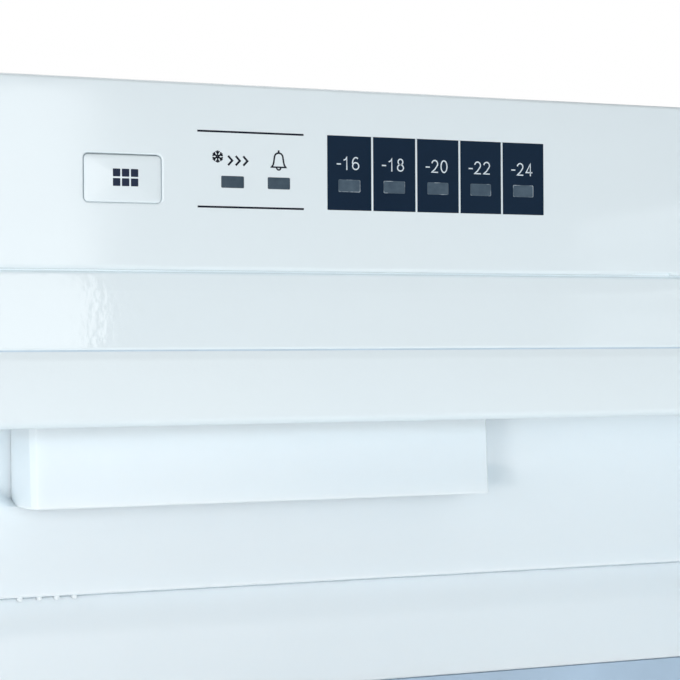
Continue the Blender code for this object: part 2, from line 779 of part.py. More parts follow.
def door_gasket(axis):
    """Magnetic seal: a frame between the door and the cabinet's steel front."""
    y0 = DOOR_LINER_BACK + GAP
    y1 = SHEET_FRONT - GAP
    frame = (-GASKET_HALF, GASKET_HALF, y0, y1, GASKET_LOW, GASKET_HIGH)
    piece = add_piece("door_gasket", boxes(frame), "rubber", axis)
    half = GASKET_HALF - GASKET_SIDE_WIDTH
    low = GASKET_LOW + GASKET_END_WIDTH
    high = GASKET_HIGH - GASKET_END_WIDTH
    cut(piece, "gasket_window", boxes((-half, half, y0 - 2.0, y1 + 2.0, low, high)))


def door_cap(name, axis, low):
    span = (-HALF_WIDTH, HALF_WIDTH, DOOR_FRONT, DOOR_REAR + 1.8, low, low + CAP_HEIGHT)
    piece = add_piece(name, boxes(span), "white_plastic", axis)
    hole = cylinder(BUSH_RADIUS + GAP, low - 2.0, low + CAP_HEIGHT + 2.0, HINGE_X, HINGE_Y)
    cut(piece, name + "_hinge_hole", hole)


def hinge_bush(name, axis, low):
    inner = PIN_RADIUS + GAP
    high = low + CAP_HEIGHT - 1.0
    ring = ((inner, low), (BUSH_RADIUS, low), (BUSH_RADIUS, high), (inner, high))
    add_piece(name, turned(ring, HINGE_X, HINGE_Y), "black_plastic", axis, smooth_deg=40.0)


def hinge_bracket(name, low, pin_low, pin_high):
    """Steel plate with a rounded nose and a riveted pin on the hinge axis."""
    nose = BRACKET_NOSE
    outline = [(BRACKET_SIDE_X, BRACKET_REAR), (BRACKET_SIDE_X, HINGE_Y)]
    for turn in range(9):
        angle = math.pi * (1 + turn / 8)
        outline.append((HINGE_X + nose * math.cos(angle), HINGE_Y + nose * math.sin(angle)))
    outline.append((HINGE_X + nose, BRACKET_REAR))
    piece = add_piece(name, extruded(outline, low, low + BRACKET_SHEET, "Z"), "zinc")
    join(piece, name + "_pin", cylinder(PIN_RADIUS, pin_low, pin_high, HINGE_X, HINGE_Y))


# ---------------------------------------------------------------- refrigerant circuit


def compressor():
    """Two welded shell halves around the motor, on rubber grommets: profiles are (radius, height)."""
    x, y = COMPRESSOR_XY
    r = COMPRESSOR_RADIUS
    inside = r - COMPRESSOR_WALL
    lower = (
        (0.0, 40.0),
        (46.0, 40.0),
        (64.0, 46.0),
        (r, 58.0),
        (r, 118.0),
        (inside, 118.0),
        (inside, 60.0),
        (62.0, 49.0),
        (45.0, 43.0),
        (0.0, 43.0),
    )
    piece = add_piece("compressor_lower_shell", turned(lower, x, y), "black_steel", smooth_deg=50.0)
    feet_x, feet_y = FEET_HALF
    join(piece, "compressor_feet", boxes((x - feet_x, x + feet_x, y - feet_y, y + feet_y, 37.0, 40.2)))
    upper = (
        (r, 118.3),
        (r, 165.0),
        (64.0, 181.0),
        (44.0, 189.0),
        (0.0, 191.0),
        (0.0, 188.0),
        (43.0, 186.0),
        (62.0, 178.5),
        (inside, 164.0),
        (inside, 118.3),
    )
    add_piece("compressor_upper_shell", turned(upper, x, y), "black_steel", smooth_deg=50.0)
    add_piece("compressor_motor", cylinder(MOTOR_RADIUS, 58.0, 168.0, x, y), "zinc", smooth_deg=40.0)
    number = 0
    away_x, away_y = GROMMET_AT
    for dx in (-away_x, away_x):
        for dy in (-away_y, away_y):
            number += 1
            grommet = cylinder(GROMMET_RADIUS, 22.0 + GAP, 37.0 - GAP, x + dx, y + dy, segments=16)
            add_piece(f"compressor_grommet_{number}", grommet, "black_plastic", smooth_deg=40.0)
    relay = (x + r + 1.5, x + r + 40.0, y - 25.0, y + 25.0, 70.0, 130.0)
    add_piece("start_relay_cover", boxes(relay), "black_plastic")


def evaporation_tray():
    """Shallow tray over the warm compressor, where meltwater dries off."""
    x, y = COMPRESSOR_XY
    half_x, half_y = TRAY_HALF
    outer = (x - half_x, x + half_x, y - half_y, y + half_y, TRAY_LOW, TRAY_HIGH)
    half_x -= TRAY_WALL
    half_y -= TRAY_WALL
    inner = (x - half_x, x + half_x, y - half_y, y + half_y, TRAY_LOW + TRAY_WALL, TRAY_HIGH)
    add_piece("evaporation_tray", tray(outer, inner, "+Z"), "black_plastic")


def filter_dryer():
    """Upright copper body with a neck at each end: the profile is (radius, height)."""
    profile = (
        (0.0, 90.0),
        (3.0, 90.0),
        (3.0, 100.0),
        (9.0, 110.0),
        (9.0, 170.0),
        (3.0, 180.0),
        (3.0, 190.0),
        (0.0, 190.0),
    )
    add_piece("filter_dryer", turned(profile, *DRYER_XY, 16), "copper", smooth_deg=40.0)


def mains_inlet():
    """Inlet socket at the rear, with its mouth towards the back."""
    outer = (-228.0, -198.0, 200.0, 224.0, 22.0 + GAP, 64.0)
    inner = (-225.0, -201.0, 206.0, 224.0, 42.0, 60.0)
    add_piece("mains_inlet", tray(outer, inner, "+Y"), "black_plastic")


def condenser_plate():
    """Pressed sheet behind the cabinet, stood off by its folded edges and pierced by louvres."""
    low, high = CONDENSER_Z
    reach = BACK_PANEL_Y + SHEET + GAP
    outline = [
        (-CONDENSER_HALF, CONDENSER_Y + SHEET),
        (-CONDENSER_HALF, reach),
        (-CONDENSER_HALF + SHEET, reach),
        (-CONDENSER_HALF + SHEET, CONDENSER_Y),
        (CONDENSER_HALF - SHEET, CONDENSER_Y),
        (CONDENSER_HALF - SHEET, reach),
        (CONDENSER_HALF, reach),
        (CONDENSER_HALF, CONDENSER_Y + SHEET),
    ]
    piece = add_piece("condenser_plate", extruded(outline, low, high, "Z"), "black_steel")
    slots = []
    y0 = CONDENSER_Y - 2.0
    y1 = CONDENSER_Y + 4.0
    for column in LOUVRE_COLUMNS:
        for row in range(RUN_COUNT - 1):
            z = RUN_LOW + (row + 0.5) * RUN_PITCH
            x0 = column - LOUVRE_HALF
            x1 = column + LOUVRE_HALF
            slots.append((x0, x1, y0, y1, z - LOUVRE_HALF_HEIGHT, z + LOUVRE_HALF_HEIGHT))
    cut(piece, "condenser_louvres", boxes(*slots))


def condenser_pipe():
    """Serpentine of straight runs and half-round bends in one plane, just inside the condenser plate."""
    radius = RUN_PITCH / 2
    points = [(-RUN_HALF, PIPE_Y, RUN_LOW)]
    for run in range(RUN_COUNT - 1):
        side = 1 if run % 2 == 0 else -1
        z = RUN_LOW + run * RUN_PITCH
        edge = side * (RUN_HALF - radius)
        for turn in range(7):
            angle = -math.pi / 2 + math.pi * turn / 6
            x = edge + side * radius * math.cos(angle)
            points.append((x, PIPE_Y, z + radius + radius * math.sin(angle)))
    points.append((-RUN_HALF, PIPE_Y, RUN_LOW + (RUN_COUNT - 1) * RUN_PITCH))
    pipe("condenser_pipe", points, PIPE_RADIUS, "black_steel", smooth=False)


def connecting_lines():
    x, y = COMPRESSOR_XY
    start = x - COMPRESSOR_RADIUS - GAP - 0.3
    discharge = [
        (start, y, 95.0),
        (-185.0, y + 8.0, 95.0),
        (-222.0, 205.0, 120.0),
        (-224.0, PIPE_Y, 180.0),
        (-224.0, PIPE_Y, 245.0),
        (-216.0, PIPE_Y, RUN_LOW - 3.0),
        (-RUN_HALF - 3 * GAP, PIPE_Y, RUN_LOW),
    ]
    pipe("discharge_line", discharge, PIPE_RADIUS, "copper")
    suction = [
        (x + 40.0, y + 62.0, 100.0),
        (40.0, 221.0, 104.0),
        (130.0, 225.5, 140.0),
        (190.0, 225.5, 200.0),
        (200.0, 226.0, 244.0),
        (200.0, 223.0, 256.0),
        (200.0, BACK_PANEL_Y + SHEET + 3 * GAP, 258.0),
    ]
    pipe("suction_line", suction, SUCTION_RADIUS, "copper")


def build():
    clear_scene()
    side_panel("left_side_panel", -1)
    side_panel("right_side_panel", 1)
    top_panel()
    back_panel()
    base_panel()
    front_rail("upper_front_rail", RAIL_BOTTOM, RAIL_TOP, UPPER_RAIL_RETURN)
    front_rail("lower_front_rail", BASE_TOP + GAP, LOWER_RAIL_TOP, RAIL_RETURN)
    base_supports()
    cabinet_liner()
    cabinet_foam()
    compressor_bay()
    control_fascia()
    stepped_window("display_window", DISPLAY_CENTRE, DISPLAY_SIZE, "smoked")
    stepped_window("super_lamp_lens", lamp_centres()[0], LAMP_SIZE, "lamp_grey")
    stepped_window("alarm_lamp_lens", lamp_centres()[1], LAMP_SIZE, "lamp_grey")
    push_button()
    button_switch()
    control_board()
    light_guide()
    control_housing()
    drawers()
    for number, low in enumerate(SHELVES, start=1):
        evaporator_shelf(number, low)
    door()
    hinge_bracket("upper_hinge_bracket", *UPPER_BRACKET)
    hinge_bracket("lower_hinge_bracket", *LOWER_BRACKET)
    compressor()
    evaporation_tray()
    filter_dryer()
    mains_inlet()
    condenser_plate()
    condenser_pipe()
    connecting_lines()


build()
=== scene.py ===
"""Looks of the built-in drawer freezer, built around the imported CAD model.

Lengths in the shape functions are millimetres in the CAD's frame; MM turns them into metres.
"""
import json
import math

import bmesh
import bpy
from mathutils import Matrix, Vector


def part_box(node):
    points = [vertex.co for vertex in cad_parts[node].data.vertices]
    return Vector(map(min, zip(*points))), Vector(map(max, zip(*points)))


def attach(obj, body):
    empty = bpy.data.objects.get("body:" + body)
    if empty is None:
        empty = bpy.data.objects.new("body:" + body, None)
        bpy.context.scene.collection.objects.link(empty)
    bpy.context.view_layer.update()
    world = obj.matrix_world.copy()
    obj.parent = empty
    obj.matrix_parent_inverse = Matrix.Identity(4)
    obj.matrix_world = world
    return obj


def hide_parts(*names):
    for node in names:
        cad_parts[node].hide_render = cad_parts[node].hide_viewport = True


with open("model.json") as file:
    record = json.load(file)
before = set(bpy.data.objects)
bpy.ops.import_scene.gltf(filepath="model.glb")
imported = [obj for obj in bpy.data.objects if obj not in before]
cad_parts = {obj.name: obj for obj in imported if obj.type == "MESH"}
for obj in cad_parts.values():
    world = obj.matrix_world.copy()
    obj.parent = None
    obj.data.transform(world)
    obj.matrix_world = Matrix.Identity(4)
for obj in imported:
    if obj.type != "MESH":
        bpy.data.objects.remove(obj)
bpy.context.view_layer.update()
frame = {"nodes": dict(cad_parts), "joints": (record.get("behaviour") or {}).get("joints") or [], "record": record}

MM = 0.001
MICRON = 0.000001
NODES = frame["nodes"]
NODE_SLOT = {part["node"]: part["material_slot"] for part in frame["record"]["subparts"]}
BODIES = frame["record"]["behaviour"]["bodies"]
NODE_BODY = {node: body for body, nodes in BODIES.items() for node in nodes}


def box_mm(node):
    """Lowest and highest corner of a CAD node in millimetres."""
    low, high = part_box(node)
    return low / MM, high / MM


def front_point(node, across=0.0, up=0.0):
    """Middle of a CAD node seen from the front as (x, z), moved across and up."""
    low, high = box_mm(node)
    return ((low.x + high.x) / 2 + across, (low.z + high.z) / 2 + up)


FASCIA_LOW, FASCIA_HIGH = box_mm("control_fascia")
FRONT = FASCIA_LOW.y
RAIL_LOW, RAIL_HIGH = box_mm("upper_front_rail")
LINER_LOW, LINER_HIGH = box_mm("cabinet_liner")

# ------ materials


def link(tree, source, output, target, socket):
    tree.links.new(source.outputs[output], target.inputs[socket])


class Finish:
    """A Principled material built up by named steps, with the record's slot that it belongs to."""

    def __init__(self, name, slot, colour, roughness, metallic=0.0, **extra):
        self.slot = slot
        self.colour = colour
        self.roughness = roughness
        self.normal = None
        self.material = bpy.data.materials.new(name)
        self.material.use_nodes = True
        self.tree = self.material.node_tree
        self.shader = self.tree.nodes["Principled BSDF"]
        self.set(self.shader, Base_Color=(*colour, 1.0), Roughness=roughness, Metallic=metallic, **extra)
        self.where = self.add("TexCoord")

    def set(self, node, **values):
        """Set inputs of a shader node, with _ for each space in their names."""
        for name, value in values.items():
            node.inputs[name.replace("_", " ")].default_value = value
        return node

    def add(self, kind, **values):
        return self.set(self.tree.nodes.new("ShaderNode" + kind), **values)

    def noise(self, scale, detail, stretch=None):
        node = self.add("TexNoise", Scale=scale, Detail=detail)
        source, output = self.where, "Object"
        if stretch is not None:
            source, output = self.add("Mapping", Scale=stretch), "Vector"
            link(self.tree, self.where, "Object", source, "Vector")
        link(self.tree, source, output, node, "Vector")
        return node

    def tint(self, source, output, first, last, start, end):
        """Base colour that goes from the first colour to the last one."""
        blend = self.add("ValToRGB")
        for element, place, colour in zip(blend.color_ramp.elements, (start, end), (first, last)):
            element.position = place
            element.color = (*colour, 1.0)
        link(self.tree, source, output, blend, "Fac")
        link(self.tree, blend, "Color", self.shader, "Base Color")
        return self

    def gloss_range(self, source, output, low, high, start=0.3, end=0.7):
        """Roughness that goes from low to high."""
        node = self.add("MapRange", From_Min=start, From_Max=end, To_Min=low, To_Max=high)
        link(self.tree, source, output, node, "Value")
        link(self.tree, node, "Result", self.shader, "Roughness")
        return self

    def vary_colour(self, scale, other, start=0.3, end=0.7, stretch=None):
        """Drift between the base colour and another one."""
        return self.tint(self.noise(scale, 3.0, stretch), "Fac", self.colour, other, start, end)

    def vary_roughness(self, scale, spread, stretch=None):
        drift = self.noise(scale, 2.0, stretch)
        return self.gloss_range(drift, "Fac", self.roughness - spread, self.roughness + spread)

    def bump(self, source, output, microns):
        """Add relief of a real depth on top of what is there."""
        node = self.add("Bump", Distance=microns * MICRON)
        link(self.tree, source, output, node, "Height")
        if self.normal is not None:
            link(self.tree, self.normal, "Normal", node, "Normal")
        link(self.tree, node, "Normal", self.shader, "Normal")
        self.normal = node
        return self

    def relief(self, scale, microns, detail=1.0, stretch=None):
        return self.bump(self.noise(scale, detail, stretch), "Fac", microns)


def lamp_plastic(name, colour, mottle):
    """Grey-blue lamp window, mottled by the diffuser behind it."""
    finish = Finish(name, "lamp_grey_plastic", colour, 0.34, Specular_IOR_Level=0.15)
    return finish.vary_colour(420.0, mottle).vary_roughness(300.0, 0.04).relief(500.0, 10)


def ink(name, slot, colour):
    finish = Finish(name, slot, colour, 0.38, Specular_IOR_Level=0.12)
    return finish.vary_colour(900.0, tuple(1.15 * value for value in colour)).relief(1800.0, 4)


def rubber(name, slot, colour):
    finish = Finish(name, slot, colour, 0.62)
    finish.vary_colour(40.0, tuple(0.88 * value for value in colour)).vary_roughness(120.0, 0.06)
    return finish.relief(900.0, 20, detail=2.0)


def galvanised_sheet():
    """Zinc with its spangle."""
    finish = Finish("zinc_sheet", "zinc_steel", (0.56, 0.58, 0.60), 0.42, 0.85)
    cells = finish.add("TexVoronoi", Scale=110.0)
    link(finish.tree, finish.where, "Object", cells, "Vector")
    split = finish.add("SeparateColor")
    link(finish.tree, cells, "Color", split, "Color")
    finish.tint(split, "Red", (0.46, 0.48, 0.50), (0.66, 0.68, 0.69), 0.0, 1.0)
    finish.gloss_range(split, "Green", 0.32, 0.52, 0.0, 1.0)
    return finish.bump(cells, "Distance", 10)


WHITE = (0.780, 0.868, 0.910)
WHITE_WARM = (0.788, 0.868, 0.902)
DRAWER_WHITE = (0.772, 0.846, 0.892)
DRAWER_WARM = (0.780, 0.846, 0.886)

GLOSS = Finish("gloss_white", "gloss_white_plastic", WHITE, 0.09, IOR=1.5)
GLOSS.vary_colour(9.0, WHITE_WARM).vary_roughness(35.0, 0.02).relief(40.0, 8)

# baked enamel with its fine orange peel over slightly wavy sheet
ENAMEL = Finish("white_enamel", "white_painted_steel", WHITE, 0.024, IOR=1.5)
ENAMEL.vary_colour(6.0, WHITE_WARM).vary_roughness(60.0, 0.005)
ENAMEL.relief(520.0, 22, detail=2.0).relief(30.0, 10)

# formed plastic with a very fine grain
SATIN = Finish("satin_white", "satin_white_plastic", WHITE, 0.36, IOR=1.5)
SATIN.vary_colour(7.0, WHITE_WARM).vary_roughness(40.0, 0.03)
SATIN.relief(1000.0, 22, detail=2.0).relief(24.0, 20)

DRAWER = Finish("drawer_white", "satin_white_plastic", DRAWER_WHITE, 0.34, IOR=1.5)
DRAWER.set(DRAWER.shader, Subsurface_Weight=0.8, Subsurface_Scale=0.003, Subsurface_Radius=(1.0, 1.0, 1.0))
DRAWER.vary_colour(8.0, DRAWER_WARM).vary_roughness(45.0, 0.03)
DRAWER.relief(1500.0, 4, detail=2.0).relief(28.0, 30)

TUB = Finish("tub_clear", "clear_tub_plastic", (0.80, 0.90, 0.95), 0.35, IOR=1.49)
TUB.set(TUB.shader, Transmission_Weight=0.35)
TUB.vary_colour(10.0, (0.76, 0.87, 0.93)).vary_roughness(50.0, 0.04).relief(120.0, 20)

SMOKED = Finish("smoked_window", "smoked_plastic", (0.011, 0.025, 0.049), 0.13, Specular_IOR_Level=0.07)
SMOKED.vary_colour(18.0, (0.0086, 0.020, 0.042)).vary_roughness(80.0, 0.02).relief(70.0, 6)

LAMP = lamp_plastic("lamp_window", (0.055, 0.086, 0.120), (0.082, 0.122, 0.162))
LAMP_DARK = lamp_plastic("lamp_window_dark", (0.046, 0.072, 0.098), (0.064, 0.096, 0.126))
INK = ink("dark_print", "smoked_plastic", (0.0085, 0.0115, 0.022))
NAVY = ink("navy_print", "smoked_plastic", (0.0145, 0.024, 0.052))
PALE_INK = ink("pale_print", "gloss_white_plastic", (0.62, 0.70, 0.76))

# edge of a lamp window; the lighter patches in its colour are painted glints
PAINTED_GLINT_RIM = Finish("lamp_rim", "lamp_grey_plastic", (0.075, 0.11, 0.145), 0.32, Specular_IOR_Level=0.3)
PAINTED_GLINT_RIM.vary_colour(330.0, (0.42, 0.50, 0.56), start=0.5, end=0.62).relief(900.0, 10)

ZINC = galvanised_sheet()

ALUMINIUM = Finish("rolled_aluminium", "roll_bond_aluminium", (0.72, 0.74, 0.76), 0.36, 0.95)
ALUMINIUM.vary_colour(26.0, (0.64, 0.67, 0.70), stretch=(0.05, 1.0, 1.0))
ALUMINIUM.vary_roughness(300.0, 0.07, stretch=(0.04, 1.0, 1.0))
ALUMINIUM.relief(900.0, 12, stretch=(0.04, 1.0, 1.0))

BLACK_STEEL = Finish("black_enamel", "black_steel", (0.014, 0.015, 0.016), 0.38)
BLACK_STEEL.vary_colour(14.0, (0.022, 0.022, 0.023)).vary_roughness(60.0, 0.06)
BLACK_STEEL.relief(480.0, 30, detail=2.0)

BLACK_PLASTIC = Finish("black_plastic", "black_plastic", (0.021, 0.022, 0.023), 0.48)
BLACK_PLASTIC.vary_colour(30.0, (0.028, 0.029, 0.030)).vary_roughness(90.0, 0.05)
BLACK_PLASTIC.relief(1200.0, 30, detail=2.0)

BLACK_RUBBER = rubber("black_rubber", "black_rubber", (0.018, 0.018, 0.019))
SEAL = rubber("seal_rubber", "grey_seal", (0.60, 0.64, 0.66))
# blue-grey strip in the gap under the rail: its colour is painted shade of that gap
PAINTED_SHADE_SEAM = rubber("seam_painted_shade", "grey_seal", (0.54, 0.66, 0.77))
# blue-grey trim under each drawer: its colour is painted shade of the gap below the drawer front
PAINTED_SHADE_TRIM = rubber("shelf_trim_painted_shade", "satin_white_plastic", (0.46, 0.60, 0.75))

COPPER = Finish("copper_tube", "copper_tube", (0.80, 0.42, 0.29), 0.37, 1.0)
COPPER.vary_colour(60.0, (0.52, 0.26, 0.17), start=0.45, end=0.8)
COPPER.vary_roughness(110.0, 0.07).relief(300.0, 10)

FOAM = Finish("rigid_foam", "rigid_foam", (0.82, 0.72, 0.45), 0.9)
FOAM.vary_colour(70.0, (0.72, 0.60, 0.33)).relief(700.0, 200, detail=3.0)

BOARD = Finish("circuit_board", "circuit_board", (0.018, 0.13, 0.055), 0.34)
BOARD.vary_colour(260.0, (0.012, 0.09, 0.04), start=0.48, end=0.52).relief(260.0, 30)

FLOOR = Finish("pale_floor", "", (0.86, 0.87, 0.88), 0.6)
FLOOR.vary_colour(2.0, (0.84, 0.85, 0.86)).vary_roughness(12.0, 0.05).relief(150.0, 100)

NODE_FINISHES = (
    GLOSS, SATIN, ENAMEL, TUB, SMOKED, LAMP_DARK, FOAM, ZINC,
    ALUMINIUM, BLACK_STEEL, BLACK_PLASTIC, BLACK_RUBBER, SEAL, COPPER, BOARD,
)
SLOT_FINISH = {finish.slot: finish for finish in NODE_FINISHES}
SLOT_FINISH["light_guide_plastic"] = TUB

# ------ shape helpers

PLACE = {
    "X": lambda u, v, w: (w, u, v),
    "Y": lambda u, v, w: (u, w, v),
    "Z": lambda u, v, w: (u, v, w),
}


def shade(mesh, smooth_deg):
    mesh.shade_smooth()
    mesh.set_sharp_from_angle(angle=math.radians(smooth_deg))


def show(name, bm, finish, node=None, body="cabinet", place=None, smooth_deg=35.0, flip=True):
    """Turn a bmesh in millimetres into a piece on a body, which may stand for a CAD node."""
    if flip:
        bmesh.ops.recalc_face_normals(bm, faces=bm.faces)
    bmesh.ops.scale(bm, vec=(MM, MM, MM), verts=bm.verts)
    mesh = bpy.data.meshes.new(name)
    bm.to_mesh(mesh)
    bm.free()
    shade(mesh, smooth_deg)
    if place is not None:
        mesh.transform(place)
    mesh.materials.append(finish.material)
    piece = bpy.data.objects.new(name, mesh)
    bpy.context.scene.collection.objects.link(piece)
    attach(piece, body)
    if node is not None:
        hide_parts(node)
    return piece


def bake(piece):
    """Make a piece's modifiers part of its mesh."""
    graph = bpy.context.evaluated_depsgraph_get()
    mesh = bpy.data.meshes.new_from_object(piece.evaluated_get(graph))
    piece.modifiers.clear()
    piece.data = mesh


def node_mesh(node, merge, plain=False):
    """A CAD node's mesh in millimetres; points closer than merge (metres) and plain faces are joined."""
    bm = bmesh.new()
    bm.from_mesh(NODES[node].data)
    bmesh.ops.remove_doubles(bm, verts=bm.verts, dist=merge)
    if plain:
        flat = math.radians(1.0)
        bmesh.ops.dissolve_limit(bm, angle_limit=flat, verts=bm.verts, edges=bm.edges)
    bmesh.ops.scale(bm, vec=(1 / MM, 1 / MM, 1 / MM), verts=bm.verts)
    return bm


def softened(node, width, segments=3):
    """A copy of a CAD node with rounded edges, which stands for it."""
    bm = node_mesh(node, 1e-5, plain=True)
    piece = show(node + "_shown", bm, SLOT_FINISH[NODE_SLOT[node]], node, NODE_BODY[node])
    edges = piece.modifiers.new("edges", "BEVEL")
    edges.width = width * MM
    edges.segments = segments
    sharp = piece.data.attributes.get("sharp_edge")
    if sharp is not None:
        piece.data.attributes.remove(sharp)
    piece.modifiers.new("normals", "WEIGHTED_NORMAL")
    bake(piece)


def rounded_outline(points):
    """A closed outline from (u, v, radius) corners, with each round corner as an arc."""
    outline = []
    for i, (u, v, radius) in enumerate(points):
        if radius <= 0.0:
            outline.append((u, v))
            continue
        here = Vector((u, v))
        before = (Vector(points[i - 1][:2]) - here).normalized()
        after = (Vector(points[(i + 1) % len(points)][:2]) - here).normalized()
        half = before.angle(after) / 2
        reach = radius / math.tan(half)
        centre = here + (before + after).normalized() * (radius / math.sin(half))
        start = here + before * reach - centre
        end = here + after * reach - centre
        sweep = start.angle_signed(end)
        steps = max(3, int(abs(sweep) / math.radians(12.0)))
        for k in range(steps + 1):
            spoke = start.copy()
            spoke.rotate(Matrix.Rotation(-sweep * k / steps, 2))
            outline.append(tuple(centre + spoke))
    return outline


def with_mirror(points):
    """Outline points followed by their mirror images across x = 0."""
    return points + [(-x, *rest) for x, *rest in reversed(points)]


def quarter_turn(steps):
    return [math.pi / 2 * k / steps for k in range(steps + 1)]


def rounded_rect(centre, half, radius, steps=6):
    """Points round a rectangle with round corners, always the same number for one steps value."""
    points = []
    for quarter in range(4):
        sign_u = 1 if quarter in (0, 3) else -1
        sign_v = 1 if quarter in (0, 1) else -1
        corner_u = centre[0] + sign_u * (half[0] - radius)
        corner_v = centre[1] + sign_v * (half[1] - radius)
        for k in range(steps + 1):
            angle = math.pi / 2 * (quarter + k / steps)
            points.append((corner_u + radius * math.cos(angle), corner_v + radius * math.sin(angle)))
    return points


def grown(half, by):
    """Half sizes of a rectangle whose edges have moved out."""
    return (half[0] + by, half[1] + by)


def bridge(bm, one, two):
    """Faces between two rings of vertices."""
    for i in range(len(one)):
        k = (i + 1) % len(one)
        bm.faces.new((one[i], one[k], two[k], two[i]))


def skin(rings, closed=False):
    """A mesh through rings of points, with its ends capped unless the last ring meets the first."""
    bm = bmesh.new()
    loops = [[bm.verts.new(point) for point in ring] for ring in rings]
    for one, two in zip(loops, loops[1:]):
        bridge(bm, one, two)
    if closed:
        bridge(bm, loops[-1], loops[0])
    else:
        bm.faces.new(loops[0])
        bm.faces.new(reversed(loops[-1]))
    return bm


def lofted(rings, direction, closed=False):
    """A skin through flat rings: each is (points, level) with the points across direction."""
    place = PLACE[direction]
    return skin([[place(u, v, level) for u, v in points] for points, level in rings], closed)


def extruded(outline, low, high, direction):
    """A closed prism whose outline lies across direction."""
    return lofted([(outline, low), (outline, high)], direction)


def turned(profile, x, y, segments=72):
    """A closed (radius, z) profile turned about a vertical axis."""
    bm = bmesh.new()
    rings = []
    for radius, z in profile:
        ring = []
        for k in range(segments if radius > 0.0 else 1):
            angle = 2 * math.pi * k / segments
            ring.append(bm.verts.new((x + radius * math.cos(angle), y + radius * math.sin(angle), z)))
        rings.append(ring)
    for ring, after in zip(rings, rings[1:] + rings[:1]):
        if len(ring) == 1 and len(after) == 1:
            continue
        for k in range(segments):
            n = (k + 1) % segments
            corners = [ring[k % len(ring)], ring[n % len(ring)]]
            corners += [after[n % len(after)], after[k % len(after)]]
            bm.faces.new(list(dict.fromkeys(corners)))
    return bm


def merged(*meshes):
    """One bmesh that holds several."""
    whole = bmesh.new()
    for bm in meshes:
        scrap = bpy.data.meshes.new("scrap")
        bm.to_mesh(scrap)
        bm.free()
        whole.from_mesh(scrap)
        bpy.data.meshes.remove(scrap)
    return whole


def soft_box(span, radius, steps=3):
    """A box with round edges all over, from (x0, x1, y0, y1, z0, z1)."""
    low = Vector(span[0::2])
    high = Vector(span[1::2])
    bm = bmesh.new()
    bmesh.ops.create_cube(bm, size=1.0)
    bmesh.ops.scale(bm, vec=high - low, verts=bm.verts)
    bmesh.ops.bevel(bm, geom=bm.edges, offset=radius, segments=steps, profile=0.5, affect="EDGES")
    bmesh.ops.translate(bm, vec=(low + high) / 2, verts=bm.verts)
    return bm


def cut(piece, bm):
    """Take a shape in millimetres out of a piece."""
    bmesh.ops.recalc_face_normals(bm, faces=bm.faces)
    bmesh.ops.scale(bm, vec=(MM, MM, MM), verts=bm.verts)
    mesh = bpy.data.meshes.new("cutter")
    bm.to_mesh(mesh)
    bm.free()
    cutter = bpy.data.objects.new("cutter", mesh)
    bpy.context.scene.collection.objects.link(cutter)
    modifier = piece.modifiers.new("cut", "BOOLEAN")
    modifier.object = cutter
    bpy.context.view_layer.update()
    bake(piece)
    bpy.data.objects.remove(cutter, do_unlink=True)


# ------ printing

INK_THICK = 0.03
LOOP_END = 345


def ribbon(points, width, level, closed=False):
    """A flat printed stroke along points on the fascia, as a thin closed body."""
    rows = []
    last = len(points) - 1
    for i, point in enumerate(points):
        here = Vector(point)
        before = Vector(points[i - 1]) if (i > 0 or closed) else here
        after = Vector(points[(i + 1) % len(points)]) if (i < last or closed) else here
        inward = here - before
        outward = after - here
        if inward.length < 1e-9:
            inward = outward
        if outward.length < 1e-9:
            outward = inward
        inward = inward.normalized()
        tangent = (inward + outward.normalized()).normalized()
        normal = Vector((-tangent.y, tangent.x))
        mitre = min(2.0, 1.0 / max(0.35, normal.dot(Vector((-inward.y, inward.x)))))
        offset = normal * (width / 2 * mitre)
        a, b = here + offset, here - offset
        far = level + INK_THICK
        rows.append([(a.x, level, a.y), (b.x, level, b.y), (b.x, far, b.y), (a.x, far, a.y)])
    return skin(rows, closed)


def arc(centre, radii, start_deg, end_deg, steps):
    points = []
    for k in range(steps + 1):
        angle = math.radians(start_deg + (end_deg - start_deg) * k / steps)
        points.append((centre[0] + radii[0] * math.cos(angle), centre[1] + radii[1] * math.sin(angle)))
    return points


TWO_BEND = arc((0.31, 0.69), (0.245, 0.255), 172, -28, 14)
# strokes of plain figures one unit high, as (points, closed); a closed one stops at LOOP_END degrees
FIGURES = {
    "-": [([(0.0, 0.43), (0.35, 0.43)], False)],
    "0": [(arc((0.31, 0.5), (0.255, 0.445), 0, LOOP_END, 23), True)],
    "1": [([(0.10, 0.72), (0.26, 0.78), (0.36, 0.945), (0.36, 0.0)], False)],
    "2": [(TWO_BEND + [(0.30, 0.26), (0.10, 0.10), (0.055, 0.055), (0.585, 0.055)], False)],
    "4": [([(0.43, 0.0), (0.43, 0.935), (0.05, 0.27), (0.61, 0.27)], False)],
    "6": [
        (arc((0.335, 0.52), (0.28, 0.425), 55, 186, 12), False),
        (arc((0.315, 0.31), (0.255, 0.255), 180, 180 - LOOP_END, 22), True),
    ],
    "8": [
        (arc((0.31, 0.735), (0.20, 0.21), 0, LOOP_END, 20), True),
        (arc((0.31, 0.29), (0.25, 0.235), 0, LOOP_END, 20), True),
    ],
}
FIGURE_ADVANCE = {"-": 0.47, "1": 0.78}
FIGURE_STROKE = 0.094


def number(text, centre_x, base, height, level):
    """A printed number centred on x, standing on base."""
    widths = [FIGURE_ADVANCE.get(figure, 0.79) for figure in text]
    gap = 0.16
    x = centre_x - (sum(widths) - gap) * height / 2
    shapes = []
    for figure, wide in zip(text, widths):
        for points, closed in FIGURES[figure]:
            moved = [(x + u * height, base + v * height) for u, v in points]
            shapes.append(ribbon(moved, FIGURE_STROKE * height, level, closed))
        x += wide * height
    return shapes


# ------ controls

